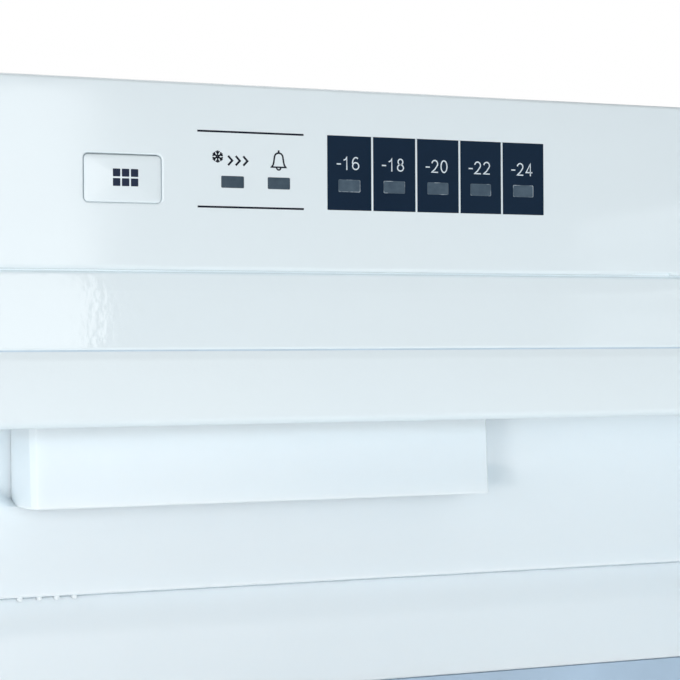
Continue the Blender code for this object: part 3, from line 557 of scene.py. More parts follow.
BUTTON_LOW, BUTTON_HIGH = box_mm("push_button")
BUTTON_AT = front_point("push_button", 0.1)
BUTTON_HALF = (10.62, 6.18)
BUTTON_GAP = 0.18
BUTTON_EDGE = 1.1
DISPLAY_LOW, DISPLAY_HIGH = box_mm("display_window")
DISPLAY_FLANGE = 1.5
DISPLAY_AT = front_point("display_window", 0.14, -0.13)
DISPLAY_HALF = (
    (DISPLAY_HIGH.x - DISPLAY_LOW.x) / 2 - DISPLAY_FLANGE,
    (DISPLAY_HIGH.z - DISPLAY_LOW.z) / 2 - DISPLAY_FLANGE,
)
STEPS = ("-16", "-18", "-20", "-22", "-24")
STEP_PITCH = 2 * DISPLAY_HALF[0] / len(STEPS)
SEPARATOR = 0.62
FIGURE_HIGH = 3.68
SUPER_AT = front_point("super_lamp_lens", 0.15, 0.24)
ALARM_AT = front_point("alarm_lamp_lens", 0.15, 0.24)
LAMP_HALF = (3.28, 1.56)
PRINT_LEVEL = FRONT - 0.035
FASCIA_WALL = 2.5
FASCIA_FOOT = FASCIA_LOW.z - 0.3
SLOT_X = (107.5, 120.4)


def button_opening(out, level):
    """Ring just outside the button's edge."""
    return (rounded_rect(BUTTON_AT, grown(BUTTON_HALF, out), 1.2 + out * 0.8), level)


def control_fascia():
    """Glossy moulded strip: rounded long edges, real openings and a slot under its lower edge."""
    rear, high, wall, low = FASCIA_HIGH.y, FASCIA_HIGH.z, FASCIA_WALL, FASCIA_FOOT
    front_edges = [(FRONT, low, 1.3), (FRONT, high, 1.1), (rear, high, 0.0)]
    channel = [(rear, high - wall, 0.0), (FRONT + wall, high - wall, 0.0)]
    channel += [(FRONT + wall, low + wall, 0.0), (rear, low + wall, 0.0)]
    outline = rounded_outline([*front_edges, *channel, (rear, low, 0.0)])
    strip = extruded(outline, FASCIA_LOW.x + wall, FASCIA_HIGH.x - wall, "X")
    piece = show("control_fascia_shown", strip, GLOSS, "control_fascia")
    outline = rounded_outline([*front_edges, (rear, low, 0.0)])
    left = extruded(outline, FASCIA_LOW.x, FASCIA_LOW.x + wall, "X")
    right = extruded(outline, FASCIA_HIGH.x - wall, FASCIA_HIGH.x, "X")
    show("control_fascia_ends", merged(left, right), GLOSS, "control_fascia")

    cut_from = FRONT - 3.0
    cut_to = FRONT + wall + 1.0
    roll = 0.5
    reach = BUTTON_GAP + roll
    cut(piece, extruded(button_opening(reach, 0.0)[0], cut_from, cut_to, "Y"))
    rings = []
    for angle in quarter_turn(6):
        rings.append(button_opening(reach - roll * math.sin(angle), FRONT + roll * (1 - math.cos(angle))))
    rings += [button_opening(BUTTON_GAP, FRONT + wall), button_opening(reach, FRONT + wall)]
    show("button_rim", lofted(rings, "Y", closed=True), GLOSS, "control_fascia", smooth_deg=50.0)
    clearance = 0.04
    window = rounded_rect(DISPLAY_AT, grown(DISPLAY_HALF, clearance), 0.12, 3)
    cut(piece, extruded(window, cut_from, cut_to, "Y"))
    for centre in (SUPER_AT, ALARM_AT):
        hole = rounded_rect(centre, grown(LAMP_HALF, clearance), 0.3, 3)
        cut(piece, extruded(hole, cut_from, cut_to, "Y"))
    start, end = SLOT_X
    slot = [(start, low - 1.0), (end, low - 1.0), (end, low + 0.75), (start, low + 0.75)]
    cut(piece, extruded(slot, cut_from, FRONT + 1.2, "Y"))
    shade(piece.data, 35.0)
    tongue = (RAIL_LOW.x, RAIL_HIGH.x, FRONT + 2.15, FRONT + 9.0, RAIL_HIGH.z - 1.0, low + 0.6)
    show("fascia_tongue", soft_box(tongue, 0.2), GLOSS)


def push_button():
    """Cap with round corners and a slightly crowned face, which sits low in its opening."""
    x, z = BUTTON_AT
    cap = (x, z - 0.13)
    face = BUTTON_LOW.y + 0.25
    flat_half = grown(BUTTON_HALF, -BUTTON_EDGE)
    corner = 1.15
    rings = [(rounded_rect(cap, BUTTON_HALF, corner), face + 6.0)]
    for angle in quarter_turn(6):
        shrink = BUTTON_EDGE * (1 - math.cos(angle))
        outline = rounded_rect(cap, grown(BUTTON_HALF, -shrink), max(0.35, corner - shrink * 0.7))
        rings.append((outline, face + 0.55 - 0.38 * math.sin(angle)))
    for share, crown in ((0.78, 0.10), (0.5, 0.04), (0.2, 0.005)):
        half = (flat_half[0] * share, flat_half[1] * share)
        rings.append((rounded_rect(cap, half, 0.35 * share), face + crown))
    show("push_button_cap", lofted(rings, "Y"), GLOSS, "push_button", "button", smooth_deg=50.0)
    stem = soft_box((x - 2.0, x + 2.0, face + 5.0, BUTTON_HIGH.y, z - 2.0, z + 2.0), 0.3)
    collar = (BUTTON_LOW.x, BUTTON_HIGH.x, face + 2.6, face + 3.9, BUTTON_LOW.z, BUTTON_HIGH.z)
    root = merged(stem, soft_box(collar, 0.4))
    show("push_button_root", root, GLOSS, "push_button", "button")
    side, pitch = 1.02, 2.48
    squares = []
    for column in (-1, 0, 1):
        for row in (-0.5, 0.5):
            middle = (x + 0.58 + column * pitch, z + 0.15 + row * pitch)
            level = face + 0.02 + 0.03 * abs(middle[0] - x) / flat_half[0]
            square = rounded_rect(middle, (side, side), 0.16, 4)
            squares.append(extruded(square, level - 0.035, level + 0.08, "Y"))
    show("button_symbol", merged(*squares), NAVY, body="button")


def display():
    """Five smoked steps with pale separators, a lamp window and a number in each."""
    x, z = DISPLAY_AT
    half_x, half_z = DISPLAY_HALF
    surface = FRONT - 0.01
    carrier = (x - half_x, x + half_x, surface + 0.06, DISPLAY_HIGH.y, z - half_z, z + half_z)
    show("display_carrier", soft_box(carrier, 0.05), GLOSS, "display_window")
    tiles, lamps, rims, figures = [], [], [], []
    for k, text in enumerate(STEPS):
        start = x - half_x + k * STEP_PITCH + (SEPARATOR / 2 if k else 0.0)
        end = x - half_x + (k + 1) * STEP_PITCH - (SEPARATOR / 2 if k < len(STEPS) - 1 else 0.0)
        middle = (start + end) / 2
        tile = rounded_rect((middle, z), ((end - start) / 2, half_z), 0.12, 3)
        tiles.append(extruded(tile, surface - 0.02, surface + 1.0, "Y"))
        lamp = (middle - 0.05, SUPER_AT[1] - 0.1)
        outer = rounded_rect(lamp, (3.32, 1.70), 0.35, 4)
        inner = rounded_rect(lamp, (2.95, 1.36), 0.25, 4)
        rings = [(outer, surface + 0.02), (outer, surface - 0.05), (inner, surface - 0.03)]
        lamps.append(lofted(rings, "Y"))
        rim_out = rounded_rect(lamp, (3.30, 1.68), 0.34, 4)
        rim_in = rounded_rect(lamp, (3.17, 1.55), 0.30, 4)
        proud = surface - 0.07
        rings = [(rim_out, surface), (rim_out, proud), (rim_in, proud), (rim_in, surface)]
        rims.append(lofted(rings, "Y", closed=True))
        figures += number(text, middle - 0.4, z + 0.86, FIGURE_HIGH, surface - 0.045)
    show("display_steps", merged(*tiles), SMOKED, "display_window")
    show("display_lamps", merged(*lamps), LAMP, smooth_deg=20.0)
    # the rims' lighter patches are painted glints, not light from a lamp
    show("display_lamp_rims", merged(*rims), PAINTED_GLINT_RIM)
    show("display_figures", merged(*figures), PALE_INK)


def lamp_lenses():
    for node, centre in (("super_lamp_lens", SUPER_AT), ("alarm_lamp_lens", ALARM_AT)):
        outer = rounded_rect(centre, LAMP_HALF, 0.28, 4)
        inner = rounded_rect(centre, grown(LAMP_HALF, -0.3), 0.2, 4)
        rings = [(outer, FRONT + 3.0), (outer, FRONT + 0.10), (inner, FRONT + 0.04)]
        show(node + "_shown", lofted(rings, "Y"), LAMP_DARK, node, smooth_deg=20.0)


def fascia_print():
    """Two rules, a snowflake with three chevrons over the left lamp, and a bell over the right one."""
    left = SUPER_AT[0] - 10.1
    right = ALARM_AT[0] + 7.35
    shapes = []
    for z in (DISPLAY_AT[1] + DISPLAY_HALF[1] - 0.20, DISPLAY_AT[1] - DISPLAY_HALF[1] + 0.02):
        shapes.append(ribbon([(left, z), (right, z)], 0.52, PRINT_LEVEL))
    shapes += snowflake((SUPER_AT[0] - 4.3, SUPER_AT[1] + 6.65), 1.62)
    for k in range(3):
        x = SUPER_AT[0] - 1.3 + 2.2 * k
        z = SUPER_AT[1] + 5.7
        shapes.append(ribbon([(x, z + 1.25), (x + 1.2, z), (x, z - 1.25)], 0.56, PRINT_LEVEL))
    shapes += bell((ALARM_AT[0] - 0.05, SUPER_AT[1] + 4.35))
    show("fascia_print", merged(*shapes), INK)


def snowflake(centre, radius):
    """Six arms with a pair of barbs each."""
    heart = Vector(centre)
    shapes = []
    for k in range(6):
        angle = math.radians(90 + 60 * k)
        along = Vector((math.cos(angle), math.sin(angle)))
        side = Vector((-along.y, along.x))
        shapes.append(ribbon([heart + along * 0.05, heart + along * radius], 0.44, PRINT_LEVEL))
        root = heart + along * radius * 0.52
        for way in (-1, 1):
            tip = root + along * radius * 0.36 + side * way * radius * 0.34
            shapes.append(ribbon([root, tip], 0.36, PRINT_LEVEL))
    return shapes


def bell(foot):
    """Outline of a small bell standing on foot."""
    x, z = foot
    flank = [(-2.1, 0.0), (-1.62, 0.62), (-1.42, 1.5), (-1.26, 2.6)]
    dome = arc((0.0, 2.6), (1.24, 1.22), 172, 8, 12)
    outline = flank + dome + [(-u, v) for u, v in reversed(flank)]
    knob = [(0.0, 3.75), (0.0, 4.55)]
    clapper = arc((0.0, -0.12), (0.62, 0.6), 180, 360, 10)
    shapes = []
    for points, width, closed in ((outline, 0.46, True), (knob, 0.5, False), (clapper, 0.42, False)):
        shapes.append(ribbon([(x + u, z + v) for u, v in points], width, PRINT_LEVEL, closed))
    return shapes


def upper_rail():
    """Folded steel rail with a generous fold at its top edge and a tight one at the bottom."""
    y, rear = RAIL_LOW.y, RAIL_HIGH.y
    low = RAIL_LOW.z - 0.45
    high = RAIL_HIGH.z + 0.45
    inside = [(rear, RAIL_HIGH.z - 1.0, 0.0), (y + 1.0, RAIL_HIGH.z - 1.0, 0.9)]
    inside += [(y + 1.0, RAIL_LOW.z + 1.0, 0.0), (y + 9.0, RAIL_LOW.z + 1.0, 0.0)]
    face = [(y, low, 0.9), (y, RAIL_HIGH.z - 4.6, 12.0), (y + 0.25, high, 1.0)]
    outline = rounded_outline([*face, (rear, high, 0.0), *inside, (y + 9.0, low, 0.0)])
    rail = extruded(outline, RAIL_LOW.x, RAIL_HIGH.x, "X")
    show("upper_front_rail_shown", rail, ENAMEL, "upper_front_rail")
    # strip in the gap under the rail, coloured as painted shade of the gap
    seam = (RAIL_LOW.x, RAIL_HIGH.x, y + 0.45, y + 2.0, RAIL_LOW.z - 0.75, RAIL_LOW.z + 0.3)
    show("rail_seam", soft_box(seam, 0.1), PAINTED_SHADE_SEAM)


# ------ liner

LINER_WALL = 2.5
LINER_SKIN = 1.2
LINER_HALF = 220.5
LINER_SPAN = (65.0, 783.05)
LINER_STEP = (20.0, 282.0)
LINER_CORNER = 6.0
LIP = 3.0
SHELVES = (1, 2, 3)


class Mouth:
    """The liner's front opening: a rectangle about x = 0 whose rim fans out over its corners."""

    def __init__(self, half, low, high, corner):
        self.centre_z = (low + high) / 2
        self.straight = Vector((half - corner, (high - low) / 2 - corner))

    def outward(self, co):
        """Direction out of the opening at a point of its edge."""
        up = co.z - self.centre_z
        dx = math.copysign(max(abs(co.x) - self.straight.x, 0.0), co.x)
        dz = math.copysign(max(abs(up) - self.straight.y, 0.0), up)
        return Vector((dx, dz)).normalized()

    def moved_out(self, co, by, y):
        push = self.outward(co) * by
        return (co.x + push.x, y, co.z + push.y)

    def flange_point(self, co, half, above, below, y):
        """Where the way out from a point of the edge meets a flange's outer rectangle."""
        push = self.outward(co)
        longest = max(abs(push.x), abs(push.y))
        up = co.z - self.centre_z
        start_x = min(abs(co.x), self.straight.x)
        start_z = min(abs(up), self.straight.y)
        reach_z = above if up > 0 else below
        x = start_x + (half - start_x) * abs(push.x) / longest
        z = start_z + (reach_z - start_z) * abs(push.y) / longest
        return (math.copysign(x, co.x), y, self.centre_z + math.copysign(z, up))


def faces_at(bm, y):
    """Faces that lie in the plane across Y at y."""
    return [f for f in bm.faces if all(abs(v.co.y - y) < 1e-4 for v in f.verts)]


def ordered_ring(edges):
    """Vertices of a closed chain of edges, in order."""
    chain = list(edges[0].verts)
    left = edges[1:]
    while left:
        step = next(e for e in left if chain[-1] in e.verts)
        left.remove(step)
        after = step.other_vert(chain[-1])
        if after is chain[0]:
            break
        chain.append(after)
    return chain


def add_ring(bm, previous, points):
    fresh = [bm.verts.new(point) for point in points]
    bridge(bm, previous, fresh)
    return fresh


def cabinet_liner():
    """Vacuum-formed liner: rounded mouth, rounded inner corners and a stepped floor."""
    low, high = LINER_SPAN
    step_y, step_z = LINER_STEP
    front = LINER_LOW.y
    rear = LINER_HIGH.y - LINER_WALL
    edge_y = front + LIP
    inner = [(edge_y, low, 0.0), (step_y, low, 8.0), (step_y, step_z, 8.0)]
    inner += [(rear, step_z, 8.0), (rear, high, 8.0), (edge_y, high, 0.0)]
    bm = extruded(rounded_outline(inner), -LINER_HALF, LINER_HALF, "X")
    mouth_edges = {e for f in faces_at(bm, edge_y) for e in f.edges}
    bmesh.ops.bevel(
        bm, geom=[e for e in bm.edges if e not in mouth_edges], offset=LINER_CORNER,
        segments=5, profile=0.5, affect="EDGES", clamp_overlap=True,
    )
    bmesh.ops.delete(bm, geom=faces_at(bm, edge_y), context="FACES_ONLY")
    ring = ordered_ring([e for e in bm.edges if e.is_boundary])
    mouth = Mouth(LINER_HALF, low, high, LINER_CORNER)
    previous = ring
    for angle in quarter_turn(6)[1:]:
        out = LIP * (1 - math.cos(angle))
        y = edge_y - LIP * math.sin(angle)
        previous = add_ring(bm, previous, [mouth.moved_out(vert.co, out, y) for vert in ring])
    for inset, sink in ((2.7, 0.0), (2.1, 0.05), (1.5, 0.15), (0.0, 0.48), (0.0, LINER_WALL)):
        half = LINER_HIGH.x - inset
        above = LINER_HIGH.z - 0.45 - mouth.centre_z - inset
        below = mouth.centre_z - LINER_LOW.z - inset
        y = front + sink
        rim = [mouth.flange_point(vert.co, half, above, below, y) for vert in ring]
        previous = add_ring(bm, previous, rim)
    bmesh.ops.recalc_face_normals(bm, faces=bm.faces)
    back = max(faces_at(bm, rear), key=lambda f: f.calc_area())
    if back.normal.y > 0:
        bmesh.ops.reverse_faces(bm, faces=bm.faces)
    piece = show("cabinet_liner_shown", bm, SATIN, "cabinet_liner", smooth_deg=40.0, flip=False)
    thick = piece.modifiers.new("wall", "SOLIDIFY")
    thick.thickness = LINER_SKIN * MM
    bake(piece)


def shelf_supports():
    """Ledges of the liner under each shelf, and the trim along each shelf's front edge, whose blue-grey colour is
    painted shade of the gap under each drawer.
    """
    ledges = []
    for shelf in SHELVES:
        top = box_mm(f"evaporator_shelf_{shelf}")[0].z - 3.3
        for side in (-1, 1):
            start, end = sorted((side * (LINER_HALF - 6.0), side * (LINER_HALF + 0.8)))
            ledges.append(soft_box((start, end, -200.0, 160.0, top - 5.0, top), 1.2))
    show("shelf_ledges", merged(*ledges), SATIN)
    for shelf in SHELVES:
        low, high = box_mm(f"evaporator_shelf_{shelf}")
        drawer_z = box_mm(f"drawer_{shelf}_front")[0].z
        # trim strip in front of each shelf, coloured as painted shade
        strip = (low.x, high.x, low.y - 4.9, low.y - 0.2, low.z - 0.5, drawer_z - 0.12)
        show(f"shelf_trim_painted_shade_{shelf}", soft_box(strip, 0.3), PAINTED_SHADE_TRIM)


# ------ drawers

DRAWER_FACE = -212.0
DRAWER_BACK = -194.3
DRAWER_EDGE = 1.4
DRAWER_OVERHANG = 1.4
STEP_HEIGHTS = {1: 30.0, 2: 32.5, 3: 32.5, 4: 32.5}
RIB_PLACES = (-67.0, -61.5, -56.5, -51.5)


def smooth_step(value, start, end):
    share = min(1.0, max(0.0, (value - start) / (end - start)))
    return share * share * (3 - 2 * share)


def scoop_depth(x, z, top):
    """How far the finger scoop goes in behind the handle: a dish that runs out gently at its sides."""
    across = 1.0 - smooth_step(abs(x), 68.0, 94.0)
    start = top - 21.9
    slope = 2.2 + 6.0 * smooth_step(abs(x), 69.0, 77.0)
    return 5.8 * across * smooth_step(z, start, start + slope)


def face_profile(bottom, step, top):
    """Side view of a drawer front from its rear top edge round to its rear bottom edge."""
    face = DRAWER_FACE
    points = [(DRAWER_BACK, top, 0.0), (face, top, 0.7), (face, step, 0.8)]
    points += [(face + 6.6, step, 0.2), (face + 6.6, step - 0.62, 0.2), (face + 5.4, step - 0.8, 0.5)]
    points += [(face + 2.9, step - 11.0, 18.0), (face + 1.8, bottom, 0.9), (DRAWER_BACK, bottom, 0.0)]
    return rounded_outline(points)


def refined(profile, longest):
    """The same open line with its long stretches divided."""
    fine = [profile[0]]
    for a, b in zip(profile, profile[1:]):
        pieces = max(1, math.ceil(math.dist(a, b) / longest))
        for k in range(1, pieces + 1):
            share = k / pieces
            fine.append((a[0] + (b[0] - a[0]) * share, a[1] + (b[1] - a[1]) * share))
    return fine


def columns(half):
    """Places across a drawer front: close together over the scoop, wide apart elsewhere."""
    middle = [-62.0 + 4.0 * k for k in range(32)]
    scoop = [63.0 + 0.9 * k for k in range(28)]
    edge = [half - DRAWER_EDGE * (1 - math.sin(angle)) for angle in quarter_turn(4)]
    right = [*scoop, 90.0, 104.0, 120.0, 150.0, 180.0, 200.0, *edge]
    return [-x for x in reversed(right)] + middle + right


def drawer_front(drawer):
    """Two-level front with its scoop, its handle and the moulded ribs in the step."""
    node = f"drawer_{drawer}_front"
    body = f"drawer_{drawer}"
    low, high = box_mm(node)
    top = high.z
    step = low.z + STEP_HEIGHTS[drawer]
    half = high.x + DRAWER_OVERHANG
    profile = refined(face_profile(low.z, step, top), 1.0)
    rows = []
    for x in columns(half):
        inset = max(0.0, abs(x) - (half - DRAWER_EDGE)) / DRAWER_EDGE
        shrink = DRAWER_EDGE * (1 - math.sqrt(max(0.0, 1 - inset * inset)))
        row = []
        for y, z in profile:
            if y < DRAWER_FACE + 7.0 and z > step + 3.0:
                y += scoop_depth(x, z, top)
            if y < DRAWER_FACE + 12.0:
                y += shrink
            row.append((x, y, z))
        rows.append(row)
    show(node + "_shown", skin(rows), DRAWER, node, body, smooth_deg=50.0)
    show(f"drawer_{drawer}_handle", handle(top), DRAWER, node, body, smooth_deg=50.0)
    ribs = []
    for x in RIB_PLACES:
        ribs.append(soft_box((x - 0.7, x + 0.7, -208.2, -204.0, step - 1.5, step + 1.5), 0.5, 2))
    show(f"drawer_{drawer}_ribs", merged(*ribs), DRAWER, body=body)


def handle(top):
    """Grip: a tilted plate with round upright corners, side walls to the scoop and a flat roof."""
    roof, low = top + 0.2, top - 21.75
    front, root = -224.3, -201.6
    half, wall, corner = 69.5, 3.2, 1.8
    left = [(-half, root, 0.0), (-half, front + corner, 0.5), (-half + 0.75 * corner, front, 0.5)]
    outer = rounded_outline(with_mirror(left))
    inner_half = half - wall
    right = [(inner_half, root, 0.0), (inner_half, front + wall, 1.0)]
    inner = rounded_outline(with_mirror(right))
    edge = 0.55
    levels = [(low + edge * (1 - math.sin(a)), edge * (1 - math.cos(a))) for a in quarter_turn(4)]
    levels += [(low + 4.0, 0.0), (low + 9.0, 0.0), (low + 14.0, 0.0), (roof - 0.4, 0.0)]
    levels += [(roof - 0.12, 0.12), (roof, 0.4)]
    rings = []
    for z, shrink in sorted(levels):
        lean = -1.4 * (roof - z) / (roof - low)
        moved = []
        for i, (x, y) in enumerate(outer + inner):
            inset = shrink if i < len(outer) else -shrink
            pull_x = -inset * math.copysign(1.0, x) if abs(x) > inner_half - 1.5 else 0.0
            pull_y = inset if y < front + wall + 1.5 else 0.0
            moved.append((x + pull_x, y + lean * (root - y) / (root - front) + pull_y))
        rings.append((moved, z))
    cover = (-half + 1.2, half - 1.2, front + 1.2, -210.0, roof - 2.5, roof - 0.03)
    whole = merged(lofted(rings, "Z"), soft_box(cover, 0.1))
    bmesh.ops.translate(whole, vec=(0.5, 0.0, 0.0), verts=whole.verts)
    return whole


def drawer_tub(drawer):
    """Clear moulded tub with round corners, a slight draught and a rolled rim."""
    node = f"drawer_{drawer}_tub"
    low, high = box_mm(node)
    centre = (0.0, (low.y + high.y) / 2)
    half = (high.x, (high.y - low.y) / 2)
    rim, wall, draught, corner = 3.0, 2.0, 3.5, 14.0
    foot = rim + draught
    section = [
        (foot + 6.0, corner - 5.0, low.z), (foot + 1.6, corner - 1.5, low.z + 1.6),
        (foot, corner, low.z + 6.0), (rim, corner, high.z - 6.0), (rim - 0.4, corner, high.z - 5.0),
        (0.4, corner + 2.0, high.z - 4.4), (0.0, corner + 2.0, high.z - 3.8),
        (0.0, corner + 2.0, high.z - 0.6), (0.6, corner + 2.0, high.z),
        (rim + wall - 0.8, corner - 1.0, high.z), (rim + wall, corner - 1.4, high.z - 0.8),
        (foot + wall, corner - 2.0, low.z + 8.0), (foot + wall + 1.6, corner - 3.5, low.z + 3.6),
        (foot + 8.0, corner - 6.0, low.z + wall),
    ]
    rings = [(rounded_rect(centre, grown(half, -inset), radius), z) for inset, radius, z in section]
    show(node + "_shown", lofted(rings, "Z"), TUB, node, f"drawer_{drawer}", smooth_deg=50.0)


# ------ door

HINGE = next(joint for joint in frame["joints"] if joint["name"] == "door_hinge")
HINGE_AT = Vector(HINGE["pos_m"])
DOOR_TURN = Matrix.Rotation(math.radians(-HINGE["range_deg"][0]), 4, "Z")
OPEN_DOOR = Matrix.Translation(HINGE_AT) @ DOOR_TURN @ Matrix.Translation(-HINGE_AT)
DOOR_FRONT = -298.0
DOOR_REAR = -258.3
DOOR_HALF = 270.5
DOOR_SPAN = (34.3, 859.7)


def door_outer():
    """Painted sheet with soft folds along both long edges."""
    fold, sheet = 2.2, 1.0
    inner = DOOR_HALF - sheet
    left = [(-DOOR_HALF, DOOR_REAR, 0.0), (-DOOR_HALF, DOOR_FRONT, fold)]
    right = [(inner, DOOR_REAR, 0.0), (inner, DOOR_FRONT + sheet, fold - sheet)]
    bm = extruded(rounded_outline(with_mirror(left) + with_mirror(right)), *DOOR_SPAN, "Z")
    show("door_outer_shown", bm, ENAMEL, "door_outer_panel", "door", OPEN_DOOR)


def door_inner():
    """Formed inner panel: a raised field with a shallow framed middle."""
    low, high = DOOR_SPAN
    centre = (0.0, (low + high) / 2)
    outer = (269.3, (high - low) / 2)
    plane = DOOR_REAR + 2.0
    field = (0.0, 424.0)
    field_section = [
        (216.5, 353.5, 16.0, 0.0), (214.5, 351.5, 15.0, 0.5), (213.2, 350.2, 14.0, 2.0),
        (211.0, 348.2, 13.0, 5.2), (209.0, 346.2, 12.0, 6.6), (206.4, 343.6, 11.0, 7.0),
        (190.0, 327.0, 12.0, 7.0), (187.6, 324.6, 11.0, 6.4), (184.4, 321.4, 10.0, 3.2),
        (181.8, 318.8, 9.0, 2.6),
    ]
    rings = [
        (rounded_rect(centre, outer, 3.0, 8), DOOR_REAR - 0.4),
        (rounded_rect(centre, outer, 3.0, 8), plane - 0.6),
        (rounded_rect(centre, grown(outer, -0.6), 3.0, 8), plane),
    ]
    for half_x, half_z, radius, rise in field_section:
        rings.append((rounded_rect(field, (half_x, half_z), radius, 8), plane + rise))
    show("door_inner_shown", lofted(rings, "Y"), SATIN, "door_liner", "door", OPEN_DOOR, 40.0)


def door_seal():
    """Soft magnetic seal: a foot on the door, a bellows and a flat magnet strip."""
    low, high = 26.0, 821.5
    half = (257.0, (high - low) / 2)
    back = DOOR_REAR + 2.3
    face = -243.4
    section = [
        (1.0, back), (0.2, back + 1.2), (3.0, back + 3.2), (1.4, back + 5.6), (0.6, back + 8.0),
        (0.0, face - 2.6), (0.5, face - 0.5), (1.2, face), (11.4, face), (12.2, face - 0.6),
        (12.4, face - 2.8), (10.4, back + 7.4), (12.2, back + 4.6), (13.2, back + 2.4), (12.8, back),
    ]
    rings = []
    for inset, y in section:
        outline = rounded_rect((0.0, (low + high) / 2), grown(half, -inset), max(2.0, 16.0 - inset), 8)
        rings.append((outline, y))
    seal = lofted(rings, "Y", closed=True)
    show("door_seal_shown", seal, SEAL, "door_gasket", "door", OPEN_DOOR, smooth_deg=50.0)


# ------ machine compartment


def compressor():
    """Two drawn shell halves with a welded flange between them, on a stamped foot plate."""
    low, high = box_mm("compressor_motor")
    x = (low.x + high.x) / 2
    y = (low.y + high.y) / 2
    r = 72.0
    inner = r - 3.0
    joint_low, joint_high = 115.0, 118.6
    bowl = [(0.0, 40.0, 0.0), (48.0, 40.0, 14.0), (r, 48.0, 18.0)]
    lower = rounded_outline([*bowl, (r, joint_low, 0.0), (inner, joint_low, 0.0)])
    lower += [(inner, 60.0), (60.0, 50.0), (45.0, 44.0), (0.0, 44.0)]
    feet_low, feet_high = box_mm("compressor_lower_shell")
    plate = soft_box((feet_low.x, feet_high.x, y - 55.0, y + 55.0, 37.0, 40.2), 1.2)
    shell = merged(turned(lower, x, y), plate)
    show("compressor_lower_shown", shell, BLACK_STEEL, "compressor_lower_shell")
    upper = [(r, joint_high)]
    upper += [(46.0 + 26.0 * math.cos(a), 158.0 + 29.0 * math.sin(a)) for a in quarter_turn(8)]
    upper += [(24.0, 189.5), (0.0, 190.6), (0.0, 187.0), (44.0, 184.0)]
    upper += [(inner, 157.0), (inner, joint_high)]
    show("compressor_upper_shown", turned(upper, x, y), BLACK_STEEL, "compressor_upper_shell")
    weld = [(r - 1.0, joint_low), (r + 1.4, 115.2), (r + 2.6, 116.8)]
    weld += [(r + 1.4, 118.4), (r - 1.0, joint_high)]
    show("compressor_weld", turned(weld, x, y), BLACK_STEEL)


def smooth_pipe(node):
    """A copy of a pipe that is shaded round."""
    finish = SLOT_FINISH[NODE_SLOT[node]]
    show(node + "_shown", node_mesh(node, 1e-6), finish, node, NODE_BODY[node], smooth_deg=60.0)


def hinge_screws():
    """Pan-head screws on the upper hinge bracket."""
    z = box_mm("upper_hinge_bracket")[1].z
    profile = [(0.0, z - 3.0), (2.0, z - 3.0), (2.0, z - 0.3)]
    profile += [(4.2, z - 0.3), (4.0, z - 0.1), (0.0, z - 0.02)]
    places = ((240.0, -205.0), (258.0, -205.0), (249.0, -232.0))
    heads = [turned(profile, x, y, 24) for x, y in places]
    show("hinge_screws", merged(*heads), ZINC)


def carried_over():
    """CAD nodes whose shape is right get rounded edges or only their finish."""
    edge_widths = (
        (0.45, ("left_side_panel", "right_side_panel", "top_panel", "lower_front_rail")),
        (1.5, ("base_runner_left", "base_runner_right", "base_cross_member")),
        (0.4, ("compressor_base",)),
        (2.5, ("start_relay_cover",)),
        (0.8, ("evaporation_tray", "mains_inlet")),
        (0.5, ("upper_hinge_bracket", "lower_hinge_bracket", "control_housing")),
        (0.6, ("filter_dryer",)),
        (1.4, [f"compressor_grommet_{k}" for k in (1, 2, 3, 4)]),
        (0.4, [f"evaporator_shelf_{shelf}" for shelf in SHELVES]),
    )
    rounded = set()
    for width, nodes in edge_widths:
        for node in nodes:
            softened(node, width)
            rounded.add(node)
    for node, source in NODES.items():
        if node not in rounded:
            source.data.materials.clear()
            source.data.materials.append(SLOT_FINISH[NODE_SLOT[node]].material)


# ------ stage


def stage():
    """Pale floor, a white backdrop for the camera and a weaker even fill for everything else."""
    bpy.ops.mesh.primitive_plane_add(size=30.0, location=(0.0, 0.0, -0.0005))
    floor = bpy.context.object
    floor.name = "floor"
    floor.data.materials.append(FLOOR.material)
    world = bpy.data.worlds.new("studio")
    bpy.context.scene.world = world
    world.use_nodes = True
    tree = world.node_tree
    fill = tree.nodes["Background"]
    fill.inputs["Color"].default_value = (0.98, 0.99, 1.0, 1.0)
    fill.inputs["Strength"].default_value = 0.265
    backdrop = tree.nodes.new("ShaderNodeBackground")
    backdrop.inputs["Color"].default_value = (1.0, 1.0, 1.0, 1.0)
    seen = tree.nodes.new("ShaderNodeLightPath")
    choose = tree.nodes.new("ShaderNodeMixShader")
    link(tree, seen, "Is Camera Ray", choose, "Fac")
    link(tree, fill, "Background", choose, 1)
    link(tree, backdrop, "Background", choose, 2)
    link(tree, choose, "Shader", tree.nodes["World Output"], "Surface")


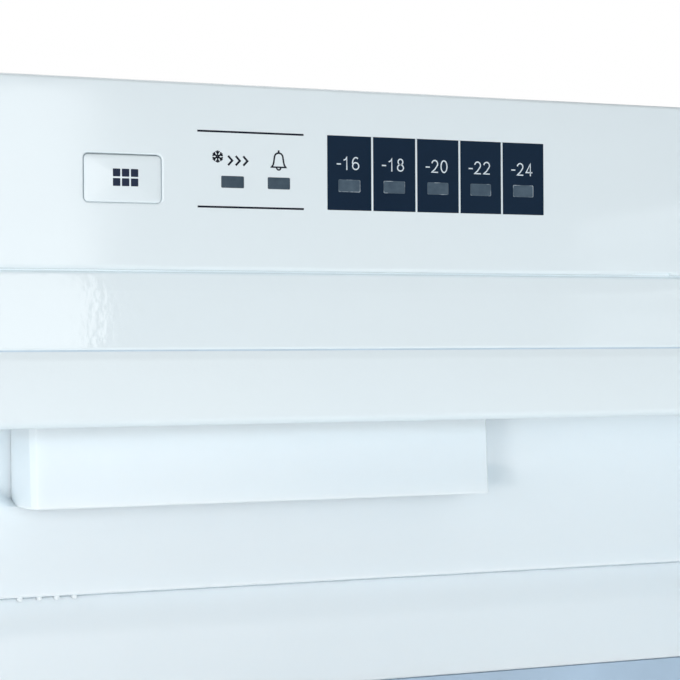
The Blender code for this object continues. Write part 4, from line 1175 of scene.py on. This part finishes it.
def softbox(name, centre, aim, size, power, grey=1.0):
    data = bpy.data.lights.new(name, "AREA")
    data.shape = "RECTANGLE"
    data.size, data.size_y = size
    data.energy = power
    data.color = (grey, grey, grey)
    lamp = bpy.data.objects.new(name, data)
    lamp.rotation_mode = "QUATERNION"
    lamp.rotation_quaternion = (Vector(centre) - Vector(aim)).to_track_quat("Z", "Y")
    lamp.location = centre
    lamp.visible_camera = False
    bpy.context.scene.collection.objects.link(lamp)


def lights():
    softbox("front_panel", (0.062, -2.15, 0.65), (0.062, 0.0, 0.65), (1.1, 1.3), 13.0, 0.98)
    softbox("left_panel", (-1.2, -0.95, 0.6), (0.0, -0.24, 0.72), (1.0, 1.2), 10.4, 0.98)
    softbox("right_panel", (2.5, 0.4, 1.1), (0.25, 0.1, 0.5), (1.8, 1.8), 22.0)
    softbox("rear_panel", (-0.3, 2.7, 1.3), (0.0, 0.2, 0.45), (2.0, 1.6), 26.0)
    softbox("overhead_panel", (0.2, 1.1, 2.8), (0.0, 0.2, 0.0), (2.4, 2.0), 26.0)


def camera():
    """Close view of the control strip from the left, level with the top of the door opening."""
    yaw = math.radians(25.61)
    pitch = math.radians(0.27)
    roll = 0.0055
    forward = Vector((math.sin(yaw) * math.cos(pitch), math.cos(yaw) * math.cos(pitch), math.sin(pitch)))
    right = Vector((math.cos(yaw), -math.sin(yaw), 0.0))
    up = right.cross(forward)
    side = right * math.cos(roll) - up * math.sin(roll)
    top = up * math.cos(roll) + right * math.sin(roll)
    spot = Vector((-0.2469, FRONT * MM - 0.541, RAIL_LOW.z * MM - 0.00075))
    data = bpy.data.cameras.new("camera")
    data.lens = 116.47
    view = bpy.data.objects.new("camera", data)
    turn = Matrix((side, top, -forward)).transposed().to_4x4()
    view.matrix_world = Matrix.Translation(spot) @ turn
    bpy.context.scene.collection.objects.link(view)
    bpy.context.scene.camera = view


camera()
control_fascia()
push_button()
display()
lamp_lenses()
fascia_print()
upper_rail()
cabinet_liner()
shelf_supports()
for each in STEP_HEIGHTS:
    drawer_front(each)
    drawer_tub(each)
door_outer()
door_inner()
door_seal()
for each in ("door_top_cap", "door_bottom_cap"):
    softened(each, 1.2, segments=4)
compressor()
for each in ("condenser_pipe", "discharge_line", "suction_line"):
    smooth_pipe(each)
hinge_screws()
carried_over()
stage()
lights()

bpy.context.scene.view_settings.view_transform = "Standard"
